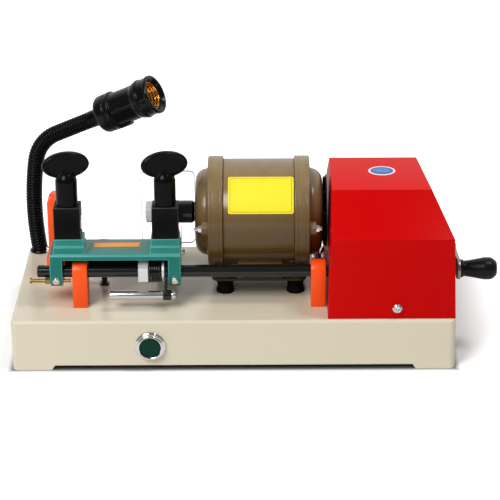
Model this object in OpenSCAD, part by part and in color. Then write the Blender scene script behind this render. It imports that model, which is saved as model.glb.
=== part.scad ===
// Hand-fed key duplicating machine: a motor turns a milling cutter, and a
// tilting carriage with two key vises rides on a rod that a crank feeds along.
// Everything is laid out from the middle of the base at floor level, X along
// the base, Y to the back. frame_shift then moves the whole machine so that the
// origin lies under the middle of its overall footprint.

/* [Base] */
// Free length of the base left of the carriage
base_left_room = 38.5; // [38:0.5:60]
// Depth of the base casting
base_d = 196; // [196:2:220]
// Height of the base casting
base_h = 54; // [48:1:64]
// Wall of the base casting
base_wall = 4; // [3:0.5:5]
// Radius of the upright corners
base_corner_r = 6; // [4:0.5:8]
// Radius of the top edges
base_edge_r = 3; // [1:0.5:4]
// Height of the relief between the two end feet
foot_relief = 5; // [3:0.5:7]
// Length of each end foot
foot_l = 40; // [30:1:50]

/* [Rod and brackets] */
// Diameter of the carriage rod
rod_d = 12.5; // [11:0.5:13]
// Height of the rod axis over the base
rod_rise = 36; // [35:0.5:37]
// Distance of the rod axis in front of the base middle
rod_front = 53; // [52:0.5:54]
// Length of rod that stands out of the left arm
rod_out = 13.8; // [8:0.1:16]
// Width of a rod bracket along the rod
bracket_w = 15.2; // [14:0.2:15.6]
// Depth of a rod bracket
bracket_d = 23.6; // [23:0.2:24]
// Wall of the bronze bush in a bracket
bush_t = 1.5; // [1:0.25:2]
// Gap between the carriage's left arm and the left bracket
left_bracket_gap = 9.8; // [8:0.2:12]
// Gap between the right bracket and the cover
right_bracket_gap = 1.5; // [1:0.1:4]
// Diameter of the hidden bolts that hold brackets and posts
anchor_bolt_d = 8; // [6:0.5:8]

/* [Carriage] */
// Length of the carriage
carriage_l = 133; // [132:0.5:134]
// Thickness of the carriage plate
plate_t = 5.8; // [5:0.2:6.4]
// Height of the plate top over the rod axis
plate_rise = 22.5; // [22:0.25:23]
// Distance of the plate's front edge in front of the rod axis
plate_front = 12; // [11.5:0.25:12.5]
// Depth of the carriage plate
plate_d = 43.6; // [42:0.2:44]
// Width of a carriage arm
arm_w = 12.7; // [11.5:0.1:12.9]
// Reach of an arm below the rod axis
arm_drop = 13; // [12:0.5:14]
// Depth of a carriage arm
arm_d = 24; // [23:0.5:25]
// Lead of the feed screw
feed_lead = 4; // [2:0.5:5]

/* [Vises] */
// Middle of the left vise from the carriage's left end
left_vise_in = 19; // [16:0.5:22]
// Middle of the right vise from the carriage's right end
right_vise_in = 15; // [15:0.5:20]
// Width of a vise
vise_w = 27; // [25:0.5:27.5]
// Depth of a vise
vise_d = 22; // [21:0.5:23]
// Height of a vise block
vise_h = 34; // [32:0.5:36]
// Front wall of a vise block
vise_front_t = 6; // [5:0.5:7]
// Height of the slot that holds the jaw and the key
vise_slot_h = 15; // [14:0.5:16]
// Thickness of the lower lip that the key lies on
vise_lip_t = 3.2; // [2.5:0.1:4]
// Height left open for the key blank
key_gap = 4.8; // [4.4:0.1:5.4]
// Height of the sliding jaw
jaw_h = 8; // [7:0.25:8.5]
// Height of the ridge under the jaw
jaw_ridge_h = 2.4; // [1.5:0.1:2.6]
// Diameter of the clamp screw
clamp_d = 8; // [6:0.5:10]
// Diameter of the knob stem
knob_d = 22; // [18:0.2:22]
// Width of the oval knob head
knob_w = 48; // [40:1:52]
// Height of the oval knob head
knob_head_h = 27.6; // [24:0.2:34]
// Thickness of the oval knob head
knob_head_t = 7.5; // [6:0.5:9]
// Height of the knob stem
knob_stem_h = 26.1; // [22:0.1:30]
// Turn of the knob head about its screw
knob_turn = 16; // [0:1:40]
// Height of the knob over the vise block
knob_hover = 1; // [1:0.1:3]

/* [Cutter and motor] */
// Middle of the cutter, left of the middle of the right vise
cutter_off = 7.8; // [7:0.1:9]
// Diameter of the milling cutter
cutter_d = 60; // [58:0.5:61]
// Thickness of the milling cutter
cutter_t = 7.3; // [5:0.1:8]
// Number of cutter teeth
cutter_teeth = 40; // [30:1:48]
// Diameter of the motor shaft and cutter arbor
shaft_d = 16; // [14:0.5:16]
// Diameter of the black spacer sleeve
sleeve_d = 23.4; // [21:0.2:25]
// Gap between the carriage and the motor
motor_gap = 13.9; // [13:0.1:20]
// Gap between the motor and the cover
cover_gap = 3.9; // [3.6:0.1:8]
// Motor axis behind the base middle
motor_back = 2; // [1.5:0.25:3]
// Radius of the motor body
motor_r = 54.8; // [54:0.2:55]
// Length of the motor body between its end rings
motor_body_l = 73; // [71:0.5:73]
// Width of an end ring
ring_w = 15.6; // [14:0.2:15.6]
// Radius of an end ring
ring_r = 57.7; // [57:0.1:57.8]
// Length of an end bell beyond its ring
bell_l = 13.5; // [12.5:0.25:13.5]
// Height of the rubber mounts
mount_h = 15.5; // [15:0.25:16]
// Thickness of the motor plate
motor_plate_t = 3; // [2.5:0.25:3.5]
// Gap between the motor plate and the motor body
motor_lift = 5.7; // [5.5:0.1:6.5]
// Length of the motor plate
motor_plate_l = 98; // [90:1:104]
// Depth of the motor plate
motor_plate_d = 72; // [66:1:80]

/* [Cover and crank] */
// Length of the cover at its foot
cover_l = 129; // [128:0.5:129.5]
// Height of the cover up to its knee
cover_knee_h = 87.4; // [84:0.2:92]
// Height of the cover
cover_h = 120; // [116:0.5:126]
// Thickness of the cover sheet
cover_t = 1.6; // [1:0.1:2]
// Length of the crank between its axes
crank_l = 52; // [45:0.5:60]
// Diameter of the feed screw
feed_d = 14; // [12:0.5:15]
// Length of the crank grip
grip_l = 37.4; // [32:0.2:44]
// Radius of the crank grip at its thickest
grip_r = 10.9; // [9:0.1:12]

/* [Lamp] */
// Outer diameter of the ribbed gooseneck
neck_d = 17.6; // [15:0.2:18]
// Distance between two ribs
neck_pitch = 3.2; // [3:0.1:5]
// Radius of the long lower curve
neck_low_r = 316; // [280:2:360]
// Angle of the long lower curve
neck_low_turn = 18.8; // [14:0.2:22]
// Radius of the upper bend
neck_bend_r = 45; // [36:1:50]
// Angle of the upper bend
neck_bend_turn = 54.6; // [45:0.2:60]
// Straight length up to the lamp holder
neck_end_l = 57; // [45:1:65]
// Turn of the whole lamp about its foot
lamp_yaw = -17.6; // [-30:0.2:-10]
// Length of the lamp holder
holder_l = 69.7; // [64:0.1:75]
// Radius of the lamp holder barrel
holder_r = 17.9; // [17:0.1:19]
// Radius of the lamp holder's front ring
holder_ring_r = 20.5; // [20:0.1:22]
// Inner radius of the brass lamp shell
shell_r = 13.3; // [13:0.1:13.6]

/* [Push button and guard] */
// Middle of the push button, left of the base middle
button_off = 84.5; // [60:0.5:110]
// Height of the push button
button_z = 27; // [25:0.5:28]
// Diameter of the chrome bezel
bezel_d = 31; // [29:0.5:34]
// Diameter of the green button
button_d = 21.2; // [19:0.2:22]
// Travel of the push button
button_travel = 3; // [2:0.25:3.5]
// Width of the clear guard
guard_w = 57; // [54:0.5:58]
// Height of the clear guard
guard_h = 75; // [70:0.5:80]
// Thickness of the clear guard
guard_t = 3; // [2:0.25:4]

/* [Hidden] */
$fn = 48;

// Clearances
run_gap = 0.05;      // radial running fit of a shaft in its bore
seat_gap = 0.3;      // between pieces of different bodies at rest
fit_gap = 0.02;      // between a piece and the one it is fixed to
eps = 0.01;

// From the left: room, carriage, motor with its two end bells, cover
cover_margin = 0.5;
motor_l = motor_body_l + 2 * (ring_w + bell_l);
base_l = base_left_room + carriage_l + motor_gap + motor_l + cover_gap + cover_l + cover_margin;
carriage_x0 = -base_l / 2 + base_left_room;
carriage_x1 = carriage_x0 + carriage_l;
motor_left = carriage_x1 + motor_gap;
motor_right = motor_left + motor_l;
cover_x0 = motor_right + cover_gap;
cover_x1 = cover_x0 + cover_l;

// Rod, carriage and feed
rod_r = rod_d / 2;
rod_y = -rod_front;
rod_z = base_h + rod_rise;
plate_z1 = rod_z + plate_rise;
plate_z0 = plate_z1 - plate_t;
plate_y0 = rod_y - plate_front;
plate_y1 = plate_y0 + plate_d;
left_arm_x = carriage_x0 + arm_w / 2;
right_arm_x = carriage_x1 - arm_w / 2;
rod_x0 = carriage_x0 - rod_out;
left_bracket_x = carriage_x0 + arm_w + left_bracket_gap + bracket_w / 2;
right_bracket_x = cover_x0 - right_bracket_gap - bracket_w / 2;

// Motor, cutter and tracer
motor_x = (motor_left + motor_right) / 2;
motor_y = motor_back;
motor_z = base_h + mount_h + motor_plate_t + motor_lift + motor_r;
left_vise_x = carriage_x0 + left_vise_in;
right_vise_x = carriage_x1 - right_vise_in;
vise_pitch = right_vise_x - left_vise_x;
cutter_x = right_vise_x - cutter_off;
cutter_r = cutter_d / 2;
shaft_r = shaft_d / 2;
cutter_front_y = motor_y - cutter_r;
tracer_x = cutter_x - vise_pitch;

// Vises, measured from the height at which the cutter meets the key
key_half = 2;
vise_back = plate_y0 + 5;
vise_lip_z = motor_z - key_half;
vise_z0 = vise_lip_z - vise_lip_t;
vise_z1 = vise_z0 + vise_h;
vise_y0 = vise_back;
vise_y1 = vise_y0 + vise_d;
knob_y = (vise_y0 + vise_y1) / 2;
jaw_z0 = vise_lip_z + key_gap;
jaw_z1 = jaw_z0 + jaw_h;
pocket_h = 2;
jaw_ridge_w = 6;
knob_z0 = vise_z1 + knob_hover;
knob_z1 = knob_z0 + knob_stem_h;

// Cover and crank
cover_y0 = -base_d / 2 + 4;
cover_y1 = base_d / 2 - 2;
crank_y = motor_back;
crank_z = rod_z;
feed_r = feed_d / 2;
journal_r = feed_r - 1;
yoke_t = 12;
yoke_x = cover_x1 - 32;
hub_x = cover_x1 + 0.6;
arm_x = hub_x + 2.6;
crank_t = 4;
grip_x0 = arm_x + crank_t + seat_gap;
grip_y = crank_y - crank_l;
grip_tip = grip_x0 + grip_l;

// Lamp
neck_x = -base_l / 2 + 12.8;
neck_y = base_d / 2 - 11.5;
neck_start = 90 + neck_low_turn / 2;
holder_pitch = neck_start - neck_low_turn - neck_bend_turn;
neck_r = neck_d / 2;
neck_z = base_h + neck_r * sin(neck_low_turn / 2) + fit_gap;

// Overall footprint and the shift to its middle
bezel_out = 7;
frame_shift = [-(grip_tip - base_l / 2) / 2, bezel_out / 2, 0];

// Plain parts used by several pieces ---------------------------------------

// A cylinder along X from x0 to x1 with its axis at y, z
module xcyl(x0, x1, y, z, r, facets = 48) {
    translate([x0, y, z]) rotate([0, 90, 0]) cylinder(r = r, h = x1 - x0, $fn = facets);
}

// A cylinder along Y from y0 to y1 with its axis at x, z
module ycyl(x, y0, y1, z, r, facets = 48) {
    translate([x, y0, z]) rotate([-90, 0, 0]) cylinder(r = r, h = y1 - y0, $fn = facets);
}

// A box between two corners
module box(low, high) {
    translate(low) cube(high - low);
}

// A rectangle with true round corners, centred
module round_rect(l, w, r) {
    square([l - 2 * r, w], center = true);
    square([l, w - 2 * r], center = true);
    for (sx = [-1, 1], sy = [-1, 1])
        translate([sx * (l / 2 - r), sy * (w / 2 - r)]) circle(r = r);
}

// A pan head with a cross slot, axis +Z, its seat at z = 0
module pan_head(d, h) {
    difference() {
        union() {
            cylinder(d = d, h = h * 0.5);
            translate([0, 0, h * 0.5]) cylinder(d1 = d, d2 = d * 0.68, h = h * 0.5);
        }
        for (a = [0, 90])
            rotate(a) translate([-d * 0.28, -d * 0.06, h * 0.45]) cube([d * 0.56, d * 0.12, h]);
    }
}

// A hexagonal nut or head, axis +Z, af across its flats
module hex(af, h) {
    cylinder(d = af / cos(30), h = h, $fn = 6);
}

// Base ----------------------------------------------------------------------

// The outer form of the base, inset by t on its sides and top
module base_form(t) {
    r = max(base_edge_r - t, 0.5);
    corner = max(base_corner_r - t, 1);
    l = base_l - 2 * t;
    d = base_d - 2 * t;
    top = base_h - t;
    intersection() {
        linear_extrude(top) round_rect(l, d, corner);
        translate([0, d / 2 + 1, 0]) rotate([90, 0, 0]) linear_extrude(d + 2)
            edge_profile(l, top, r);
        translate([-l / 2 - 1, 0, 0]) rotate([90, 0, 90]) linear_extrude(l + 2)
            edge_profile(d, top, r);
    }
}

// A section with two true round top corners
module edge_profile(w, h, r) {
    translate([-w / 2, -1]) square([w, h - r + 1]);
    translate([-w / 2 + r, -1]) square([w - 2 * r, h + 1]);
    for (s = [-1, 1]) translate([s * (w / 2 - r), h - r]) circle(r = r);
}

// Relief cut that leaves a foot with a sloped shoulder at each end
module foot_cut() {
    half = base_l / 2 - foot_l;
    slope = 3;
    translate([0, base_d / 2 + 1, 0]) rotate([90, 0, 0]) linear_extrude(base_d + 2)
        polygon([[-half - 1, -1], [half + 1, -1], [half, 0], [half - slope, foot_relief],
            [-half + slope, foot_relief], [-half, 0]]);
}

cover_screw_x = cover_x0 + 70;
cover_screw_z = base_h + 11.4;
tab_w = 18;
tab_h = 20;
anchors = [[left_bracket_x, rod_y], [right_bracket_x, rod_y],
    [cover_x0 + 13, crank_y], [cover_x1 - 13, crank_y]];
post_x0 = tracer_x - 19.7;
post_x1 = tracer_x + 8.3;
post_y0 = 14;
post_y1 = 38;
post_x = (post_x0 + post_x1) / 2;
post_y = (post_y0 + post_y1) / 2;
all_anchors = concat(anchors, [[post_x, post_y]]);
mount_dx = 36.5;
mount_dy = 24;
mounts = [for (sx = [-1, 1], sy = [-1, 1]) [motor_x + 1.2 + sx * mount_dx, motor_y + sy * mount_dy]];
stud_d = 6;
neck_hole_r = 6;
bezel_barrel_r = 11;

module base_pan() color("#d8cfb6") translate(frame_shift) {
    difference() {
        base_form(0);
        translate([0, 0, -eps]) base_form(base_wall);
        foot_cut();
        for (p = all_anchors) translate([p[0], p[1], base_h - base_wall - 1])
            cylinder(d = anchor_bolt_d + 0.4, h = base_wall + 2);
        for (p = mounts) translate([p[0], p[1], base_h - base_wall - 1])
            cylinder(d = stud_d + 0.4, h = base_wall + 2);
        translate([neck_x, neck_y, base_h - base_wall - 1]) cylinder(r = neck_hole_r + 0.2, h = base_wall + 2);
        translate([guard_foot[0], guard_foot[1], base_h - base_wall - 1]) cylinder(r = 2, h = base_wall + 2);
        ycyl(-button_off, -base_d / 2 - 1, -base_d / 2 + base_wall + 1, button_z, bezel_barrel_r + 0.1);
    }
    // Tabs that the cover is screwed to
    for (s = [0, 1]) difference() {
        y0 = s == 0 ? cover_y0 + cover_t + fit_gap : cover_y1 - cover_t - fit_gap - 6;
        box([cover_screw_x - tab_w / 2, y0, base_h - eps], [cover_screw_x + tab_w / 2, y0 + 6, base_h + tab_h]);
        ycyl(cover_screw_x, y0 - 1, y0 + 7, cover_screw_z, 2);
    }
}

// The threaded bezel and its lock nut, one chromed group
module switch_bezel() color("silver") translate(frame_shift)
    translate([-button_off, -base_d / 2, button_z]) rotate([90, 0, 0]) {
        difference() {
            union() {
                cylinder(d = bezel_d, h = 2.4);
                translate([0, 0, 2.4]) cylinder(d1 = bezel_d, d2 = bezel_d - 2, h = 1);
                cylinder(d = bezel_d - 4, h = bezel_out - 0.8);
                translate([0, 0, bezel_out - 0.8]) cylinder(d1 = bezel_d - 4, d2 = bezel_d - 6, h = 0.8);
                translate([0, 0, -13]) cylinder(r = bezel_barrel_r, h = 13.5);
            }
            translate([0, 0, -14]) cylinder(r = 8, h = 30);
            translate([0, 0, 0.6]) cylinder(d = button_d + 0.6, h = 20);
        }
        translate([0, 0, -base_wall - 3.2]) difference() {
            hex(26, 3);
            translate([0, 0, -1]) cylinder(r = bezel_barrel_r + fit_gap, h = 6);
        }
    }

// Contact block that clips behind the bezel
module switch_block() color("#222222") translate(frame_shift) {
    front = -base_d / 2 + 13 + fit_gap;
    difference() {
        box([-button_off - 14, front, button_z - 14], [-button_off + 14, front + 26, button_z + 14]);
        ycyl(-button_off, front - 1, front + 12, button_z, 7.6);
    }
    for (s = [-1, 1]) box([-button_off + s * 7 - 2, front + 26 - eps, button_z - 3],
        [-button_off + s * 7 + 2, front + 33, button_z + 3]);
}

// Green button with the stem that works the contacts
module switch_button() color("#1f5b46") translate(frame_shift)
    translate([-button_off, -base_d / 2, button_z]) rotate([90, 0, 0]) {
        face = bezel_out - 0.8;
        translate([0, 0, button_travel + 1]) cylinder(d = button_d, h = face - button_travel - 2);
        translate([0, 0, face - 1]) cylinder(d1 = button_d, d2 = button_d - 2, h = 1);
        translate([0, 0, -16]) cylinder(r = 7.4, h = 16 + button_travel + 1.5);
    }

// Run capacitor, held to the underside of the base top
module run_capacitor() color("#e8e8e0") translate(frame_shift + [motor_x, base_d / 2 - 40, base_h - base_wall - fit_gap]) {
    difference() {
        union() {
            box([-26, -11, -24], [26, 11, 0]);
            box([26 - eps, -7, -3], [38, 7, 0]);
        }
        translate([32, 0, -5]) cylinder(r = 2.2, h = 10);
    }
    for (s = [-1, 1]) box([-33, s * 5 - 3, -12], [-26 + eps, s * 5 + 3, -11]);
}

// Rod brackets and tracer ------------------------------------------------------

// One bracket, a post with a half-round head about the rod
module rod_bracket(x) {
    r = bracket_d / 2;
    difference() {
        union() {
            box([x - bracket_w / 2, rod_y - r, base_h], [x + bracket_w / 2, rod_y + r, rod_z]);
            xcyl(x - bracket_w / 2, x + bracket_w / 2, rod_y, rod_z, r);
        }
        xcyl(x - bracket_w, x + bracket_w, rod_y, rod_z, rod_r + run_gap + bush_t + fit_gap);
        translate([x, rod_y, base_h - 1]) cylinder(d = anchor_bolt_d, h = 19);
    }
}

module left_bracket() color("orangered") translate(frame_shift) rod_bracket(left_bracket_x);

module right_bracket() color("orangered") translate(frame_shift) rod_bracket(right_bracket_x);

module rod_bushes() color("#b08040") translate(frame_shift)
    for (x = [left_bracket_x, right_bracket_x]) difference() {
        xcyl(x - bracket_w / 2, x + bracket_w / 2, rod_y, rod_z, rod_r + run_gap + bush_t);
        xcyl(x - bracket_w, x + bracket_w, rod_y, rod_z, rod_r + run_gap);
    }

post_top = motor_z + 16.3;
tracer_r = 5;
tracer_screw_z = base_h + 29;

// Tall post that carries the tracer, with a wider foot
module tracer_post() color("orangered") translate(frame_shift) difference() {
    union() {
        box([post_x0, post_y0, base_h], [post_x1, post_y1, post_top]);
        box([post_x0 - 3, post_y0, base_h], [post_x1 + 3, post_y1, base_h + 22]);
    }
    // Chamfered head
    translate([0, post_y1 + 1, 0]) rotate([90, 0, 0]) linear_extrude(post_y1 - post_y0 + 2)
        polygon([[post_x0 - 1, post_top - 6], [post_x0 - 1, post_top + 1], [post_x0 + 4, post_top + 1],
            [post_x0 + 4, post_top], [post_x0, post_top - 5]]);
    ycyl(tracer_x, post_y0 - 1, post_y1 + 1, motor_z, tracer_r + fit_gap);
    translate([tracer_x, post_y, motor_z]) cylinder(r = 2.5, h = 30);
    xcyl(post_x0 - 1, post_x0 + 9, post_y0 + 6, tracer_screw_z, 2);
    translate([post_x, post_y, base_h - 1]) cylinder(d = anchor_bolt_d, h = 19);
}

// Hardened tracer bar, ground at its tip to the form of the cutter
module tracer_bar() color("silver") translate(frame_shift) difference() {
    tip_l = 14;
    union() {
        ycyl(tracer_x, cutter_front_y + 2, post_y1 + 8, motor_z, tracer_r);
        ycyl(tracer_x, cutter_front_y, cutter_front_y + 2.1, motor_z, tracer_r - 0.8);
    }
    for (s = [-1, 1]) translate([tracer_x + s * (cutter_t / 2 + 4), cutter_front_y + tip_l / 2 - 1, motor_z])
        cube([8, tip_l + 2, 20], center = true);
    for (s = [-1, 1]) translate([tracer_x, cutter_front_y - 1, motor_z + s * 3.6]) rotate([s * 20, 0, 0])
        translate([-6, 0, s > 0 ? 0 : -6]) cube([12, 12, 6]);
}

// The set screw over the tracer and the pan-head screw on the post's side
module tracer_screws() color("silver") translate(frame_shift) {
    translate([tracer_x, post_y, motor_z + tracer_r + fit_gap]) {
        difference() {
            cylinder(r = 2.5 - fit_gap, h = 14);
            translate([-3, -0.5, 12.5]) cube([6, 1, 3]);
        }
    }
    xcyl(post_x0 - eps, post_x0 + 8, post_y0 + 6, tracer_screw_z, 2 - fit_gap);
    translate([post_x0, post_y0 + 6, tracer_screw_z]) rotate([0, -90, 0]) pan_head(7.6, 3.2);
}

// Hex bolts under the base and the nuts of the motor mounts
module frame_fasteners() color("silver") translate(frame_shift) {
    under = base_h - base_wall;
    for (p = all_anchors) translate([p[0], p[1], 0]) {
        translate([0, 0, under - 5.3]) hex(13, 5.3);
        translate([0, 0, under - eps]) cylinder(d = anchor_bolt_d - 2 * fit_gap, h = base_wall + 17);
    }
    for (p = mounts) translate([p[0], p[1], 0]) {
        translate([0, 0, base_h + mount_h + motor_plate_t]) hex(10, 4.6);
        translate([0, 0, base_h + mount_h - 6]) cylinder(d = stud_d - 2 * fit_gap, h = motor_plate_t + 12);
        translate([0, 0, under - 4.6]) hex(10, 4.6);
        translate([0, 0, under - 7]) cylinder(d = stud_d - 2 * fit_gap, h = base_wall + 13);
    }
}

// Motor ---------------------------------------------------------------------------

mount_r = 9.2;

// Four rubber mounts with their bonded stud holes
module motor_mounts() color("#1c1c1c") translate(frame_shift)
    for (p = mounts) translate([p[0], p[1], base_h]) difference() {
        rotate_extrude() polygon([[0, 0], [mount_r, 0], [mount_r, 3], [mount_r - 1.4, mount_h / 2],
            [mount_r, mount_h - 3], [mount_r, mount_h], [0, mount_h]]);
        translate([0, 0, -1]) cylinder(d = stud_d, h = 7);
        translate([0, 0, mount_h - 6]) cylinder(d = stud_d, h = 7);
    }

// Motor plate with the welded saddle
module motor_plate() color("#3d3226") translate(frame_shift) {
    saddle_half = motor_plate_d / 2 - 0.1;
    z0 = base_h + mount_h;
    z1 = z0 + motor_plate_t;
    difference() {
        union() {
            translate([motor_x, motor_y, z0]) linear_extrude(motor_plate_t) round_rect(motor_plate_l, motor_plate_d, 8);
            box([motor_x - 22, motor_y - saddle_half, z1 - eps], [motor_x + 24, motor_y + saddle_half, z1 + 21]);
        }
        xcyl(motor_x - 50, motor_x + 50, motor_y, motor_z, motor_r + fit_gap, 96);
        box([motor_x - 16, motor_y - 40, z1 + 2], [motor_x + 18, motor_y + 40, z1 + 4.6]);
        for (p = mounts) translate([p[0], p[1], z0 - 1]) cylinder(d = stud_d, h = 10);
    }
}

module motor_body() color("#7a6241") translate(frame_shift) difference() {
    half = motor_body_l / 2;
    xcyl(motor_x - half, motor_x + half, motor_y, motor_z, motor_r, 96);
    xcyl(motor_x - half - 1, motor_x + half + 1, motor_y, motor_z, motor_r - 3.6, 96);
}

bell_r = 45;
bell_round = 13;
bearing_r = 17.5;
bearing_w = 11;
tie_r = 2;
tie_ring = 48.4;
tie_lug_l = 6;

// Half section of an end bell, x outward from the axis and y away from the body
module bell_section(t) {
    depth = ring_w + bell_l - t;
    r = bell_r - t;
    square([r - bell_round, depth]);
    square([r, depth - bell_round]);
    translate([r - bell_round, depth - bell_round]) circle(r = bell_round);
}

// One end bell with its flange ring, bearing seat and two bolt lugs, axis +Z
module end_bell() {
    difference() {
        union() {
            rotate_extrude($fn = 96) intersection() {
                bell_section(0);
                square([100, 100]);
            }
            rotate_extrude($fn = 96) polygon([[0, 0], [ring_r - 0.8, 0], [ring_r, 0.8], [ring_r, ring_w - 1.4],
                [ring_r - 1.4, ring_w], [0, ring_w]]);
            for (a = [0, 180]) rotate(a) translate([0, -tie_ring, ring_w - 1]) {
                cylinder(r = 7.4, h = tie_lug_l + 1, $fn = 8);
            }
        }
        // Hollow that takes the stator ends, and the bearing seat
        difference() {
            translate([0, 0, -eps]) rotate_extrude($fn = 96) intersection() {
                bell_section(3);
                translate([0, -1]) square([100, 100]);
            }
            translate([0, 0, ring_w + bell_l - 4 - bearing_w]) cylinder(r = bearing_r + 4, h = bearing_w + 4);
        }
        translate([0, 0, -1]) cylinder(r = motor_r - 3.8, h = 5, $fn = 96);
        translate([0, 0, ring_w + bell_l - 3 - bearing_w]) mirror([0, 0, 1]) cylinder(r = bearing_r + 5, h = 60);
        translate([0, 0, ring_w + bell_l - 4 - bearing_w]) cylinder(r = bearing_r, h = bearing_w + 1);
        cylinder(r = shaft_r + 0.6, h = 60);
        for (a = [0, 180]) rotate(a) translate([0, -tie_ring, -1]) cylinder(r = tie_r, h = 60);
    }
}

module motor_bell_left() color("#7a6241") translate(frame_shift)
    translate([motor_x - motor_body_l / 2, motor_y, motor_z]) rotate([0, -90, 0]) end_bell();

module motor_bell_right() color("#7a6241") translate(frame_shift)
    translate([motor_x + motor_body_l / 2, motor_y, motor_z]) rotate([0, 90, 0]) end_bell();

// Two long bolts that clamp the bells to the body
module motor_tie_bolts() color("silver") translate(frame_shift)
    for (s = [-1, 1]) {
        y = motor_y + s * tie_ring;
        lug = ring_w + tie_lug_l;
        x0 = motor_x - motor_body_l / 2 - lug;
        x1 = motor_x + motor_body_l / 2 + lug;
        xcyl(x0 - 8, x1 + 6, y, motor_z, tie_r - fit_gap);
        translate([x0, y, motor_z]) rotate([0, -90, 0]) {
            cylinder(r = 4.4, h = 0.9);
            translate([0, 0, 0.9]) hex(6.6, 2.6);
        }
        translate([x1, y, motor_z]) rotate([0, 90, 0]) {
            cylinder(r = 4.4, h = 0.9);
            translate([0, 0, 0.9]) hex(6.6, 2.6);
        }
    }

stator_r = motor_r - 13.4;
rotor_r = 26;

// Laminated stator with its two winding heads
module stator() color("#8a8f94") translate(frame_shift) {
    core = 44;
    difference() {
        union() {
            xcyl(motor_x - core / 2, motor_x + core / 2, motor_y, motor_z, stator_r, 96);
            for (a = [45 : 90 : 315]) translate([motor_x, motor_y, motor_z]) rotate([a, 0, 0])
                translate([-core / 2, -6, stator_r - 3]) cube([core, 12, motor_r - 3.7 - stator_r + 1]);
            xcyl(motor_x - core / 2 - 10, motor_x + core / 2 + 10, motor_y, motor_z, stator_r - 4, 96);
        }
        xcyl(motor_x - core, motor_x + core, motor_y, motor_z, rotor_r + 0.8, 96);
        difference() {
            xcyl(motor_x - core, motor_x + core, motor_y, motor_z, motor_r + 3, 96);
            xcyl(motor_x - core - 1, motor_x + core + 1, motor_y, motor_z, motor_r - 3.62, 96);
        }
    }
}

module motor_bearings() color("silver") translate(frame_shift)
    for (x = [motor_left + 4, motor_right - 4 - bearing_w]) difference() {
        xcyl(x, x + bearing_w, motor_y, motor_z, bearing_r - fit_gap);
        xcyl(x - 1, x + bearing_w + 1, motor_y, motor_z, shaft_r + run_gap);
    }

nut_w = 11.2;
sleeve_x0 = cutter_x + cutter_t / 2 + fit_gap;
sleeve_x1 = motor_left - 1;
nut_x1 = cutter_x - cutter_t / 2 - fit_gap;
fan_x0 = motor_right + 0.7;
fan_w = 3.6;
fan_r = 38;

// One shaft through the motor, with the cutter arbor on its left end
module motor_shaft() color("silver") translate(frame_shift) {
    xcyl(nut_x1 - nut_w, fan_x0 + fan_w + 0.4, motor_y, motor_z, shaft_r);
}

module rotor_core() color("#9a9da0") translate(frame_shift) difference() {
    xcyl(motor_x - 24, motor_x + 24, motor_y, motor_z, rotor_r);
    xcyl(motor_x - 25, motor_x + 25, motor_y, motor_z, shaft_r + fit_gap);
}

module cutter_sleeve() color("#1a1a1a") translate(frame_shift) difference() {
    union() {
        xcyl(sleeve_x0, sleeve_x1 - 2.4, motor_y, motor_z, sleeve_d / 2);
        translate([sleeve_x1 - 2.4 - eps, motor_y, motor_z]) rotate([0, 90, 0])
            cylinder(r1 = sleeve_d / 2, r2 = sleeve_d / 2 - 2, h = 2.4);
    }
    xcyl(sleeve_x0 - 1, sleeve_x1 + 1, motor_y, motor_z, shaft_r + fit_gap);
}

// Side and face milling cutter with raked teeth
module cutter() color("#c9cdd0") translate(frame_shift) {
    root = cutter_r - 2.6;
    step = 360 / cutter_teeth;
    teeth = [for (i = [0 : cutter_teeth - 1], p = [[root, 0], [cutter_r, 0.12], [cutter_r - 0.3, 0.45]])
        [p[0] * cos((i + p[1]) * step), p[0] * sin((i + p[1]) * step)]];
    difference() {
        translate([cutter_x - cutter_t / 2, motor_y, motor_z]) rotate([0, 90, 0])
            linear_extrude(cutter_t) polygon(teeth);
        for (s = [-1, 1]) translate([cutter_x + s * (cutter_t / 2 + 0.5), motor_y, motor_z]) rotate([0, 90, 0])
            difference() {
                cylinder(r = root - 3, h = 3, center = true);
                cylinder(r = 15, h = 4, center = true);
            }
        xcyl(cutter_x - cutter_t, cutter_x + cutter_t, motor_y, motor_z, shaft_r + fit_gap);
    }
}

module cutter_nut() color("silver") translate(frame_shift) difference() {
    translate([nut_x1 - nut_w + 0.6, motor_y, motor_z]) rotate([0, 90, 0]) hex(20.7, nut_w - 0.6);
    xcyl(nut_x1 - nut_w - 1, nut_x1 + 1, motor_y, motor_z, shaft_r + fit_gap);
}

module cooling_fan() color("#151515") translate(frame_shift) difference() {
    union() {
        xcyl(fan_x0, fan_x0 + fan_w, motor_y, motor_z, 13);
        xcyl(fan_x0 + fan_w - 1.2, fan_x0 + fan_w, motor_y, motor_z, fan_r);
        for (a = [0 : 36 : 324]) translate([fan_x0, motor_y, motor_z]) rotate([a, 0, 0])
            translate([0, -0.8, 12]) cube([fan_w - 0.8, 1.6, fan_r - 13]);
    }
    xcyl(fan_x0 - 1, fan_x0 + fan_w + 1, motor_y, motor_z, shaft_r + fit_gap);
}

// Cover and feed --------------------------------------------------------------------

// Everything on the inner side of a plane, whose point is moved in by t along the outward normal
module behind(point, normal, t = 0) {
    reach = 400;
    translate(point) rotate([0, acos(normal[2] / norm(normal)), atan2(normal[1], normal[0])])
        translate([-reach, -reach, -t - 2 * reach]) cube(2 * reach);
}

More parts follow.
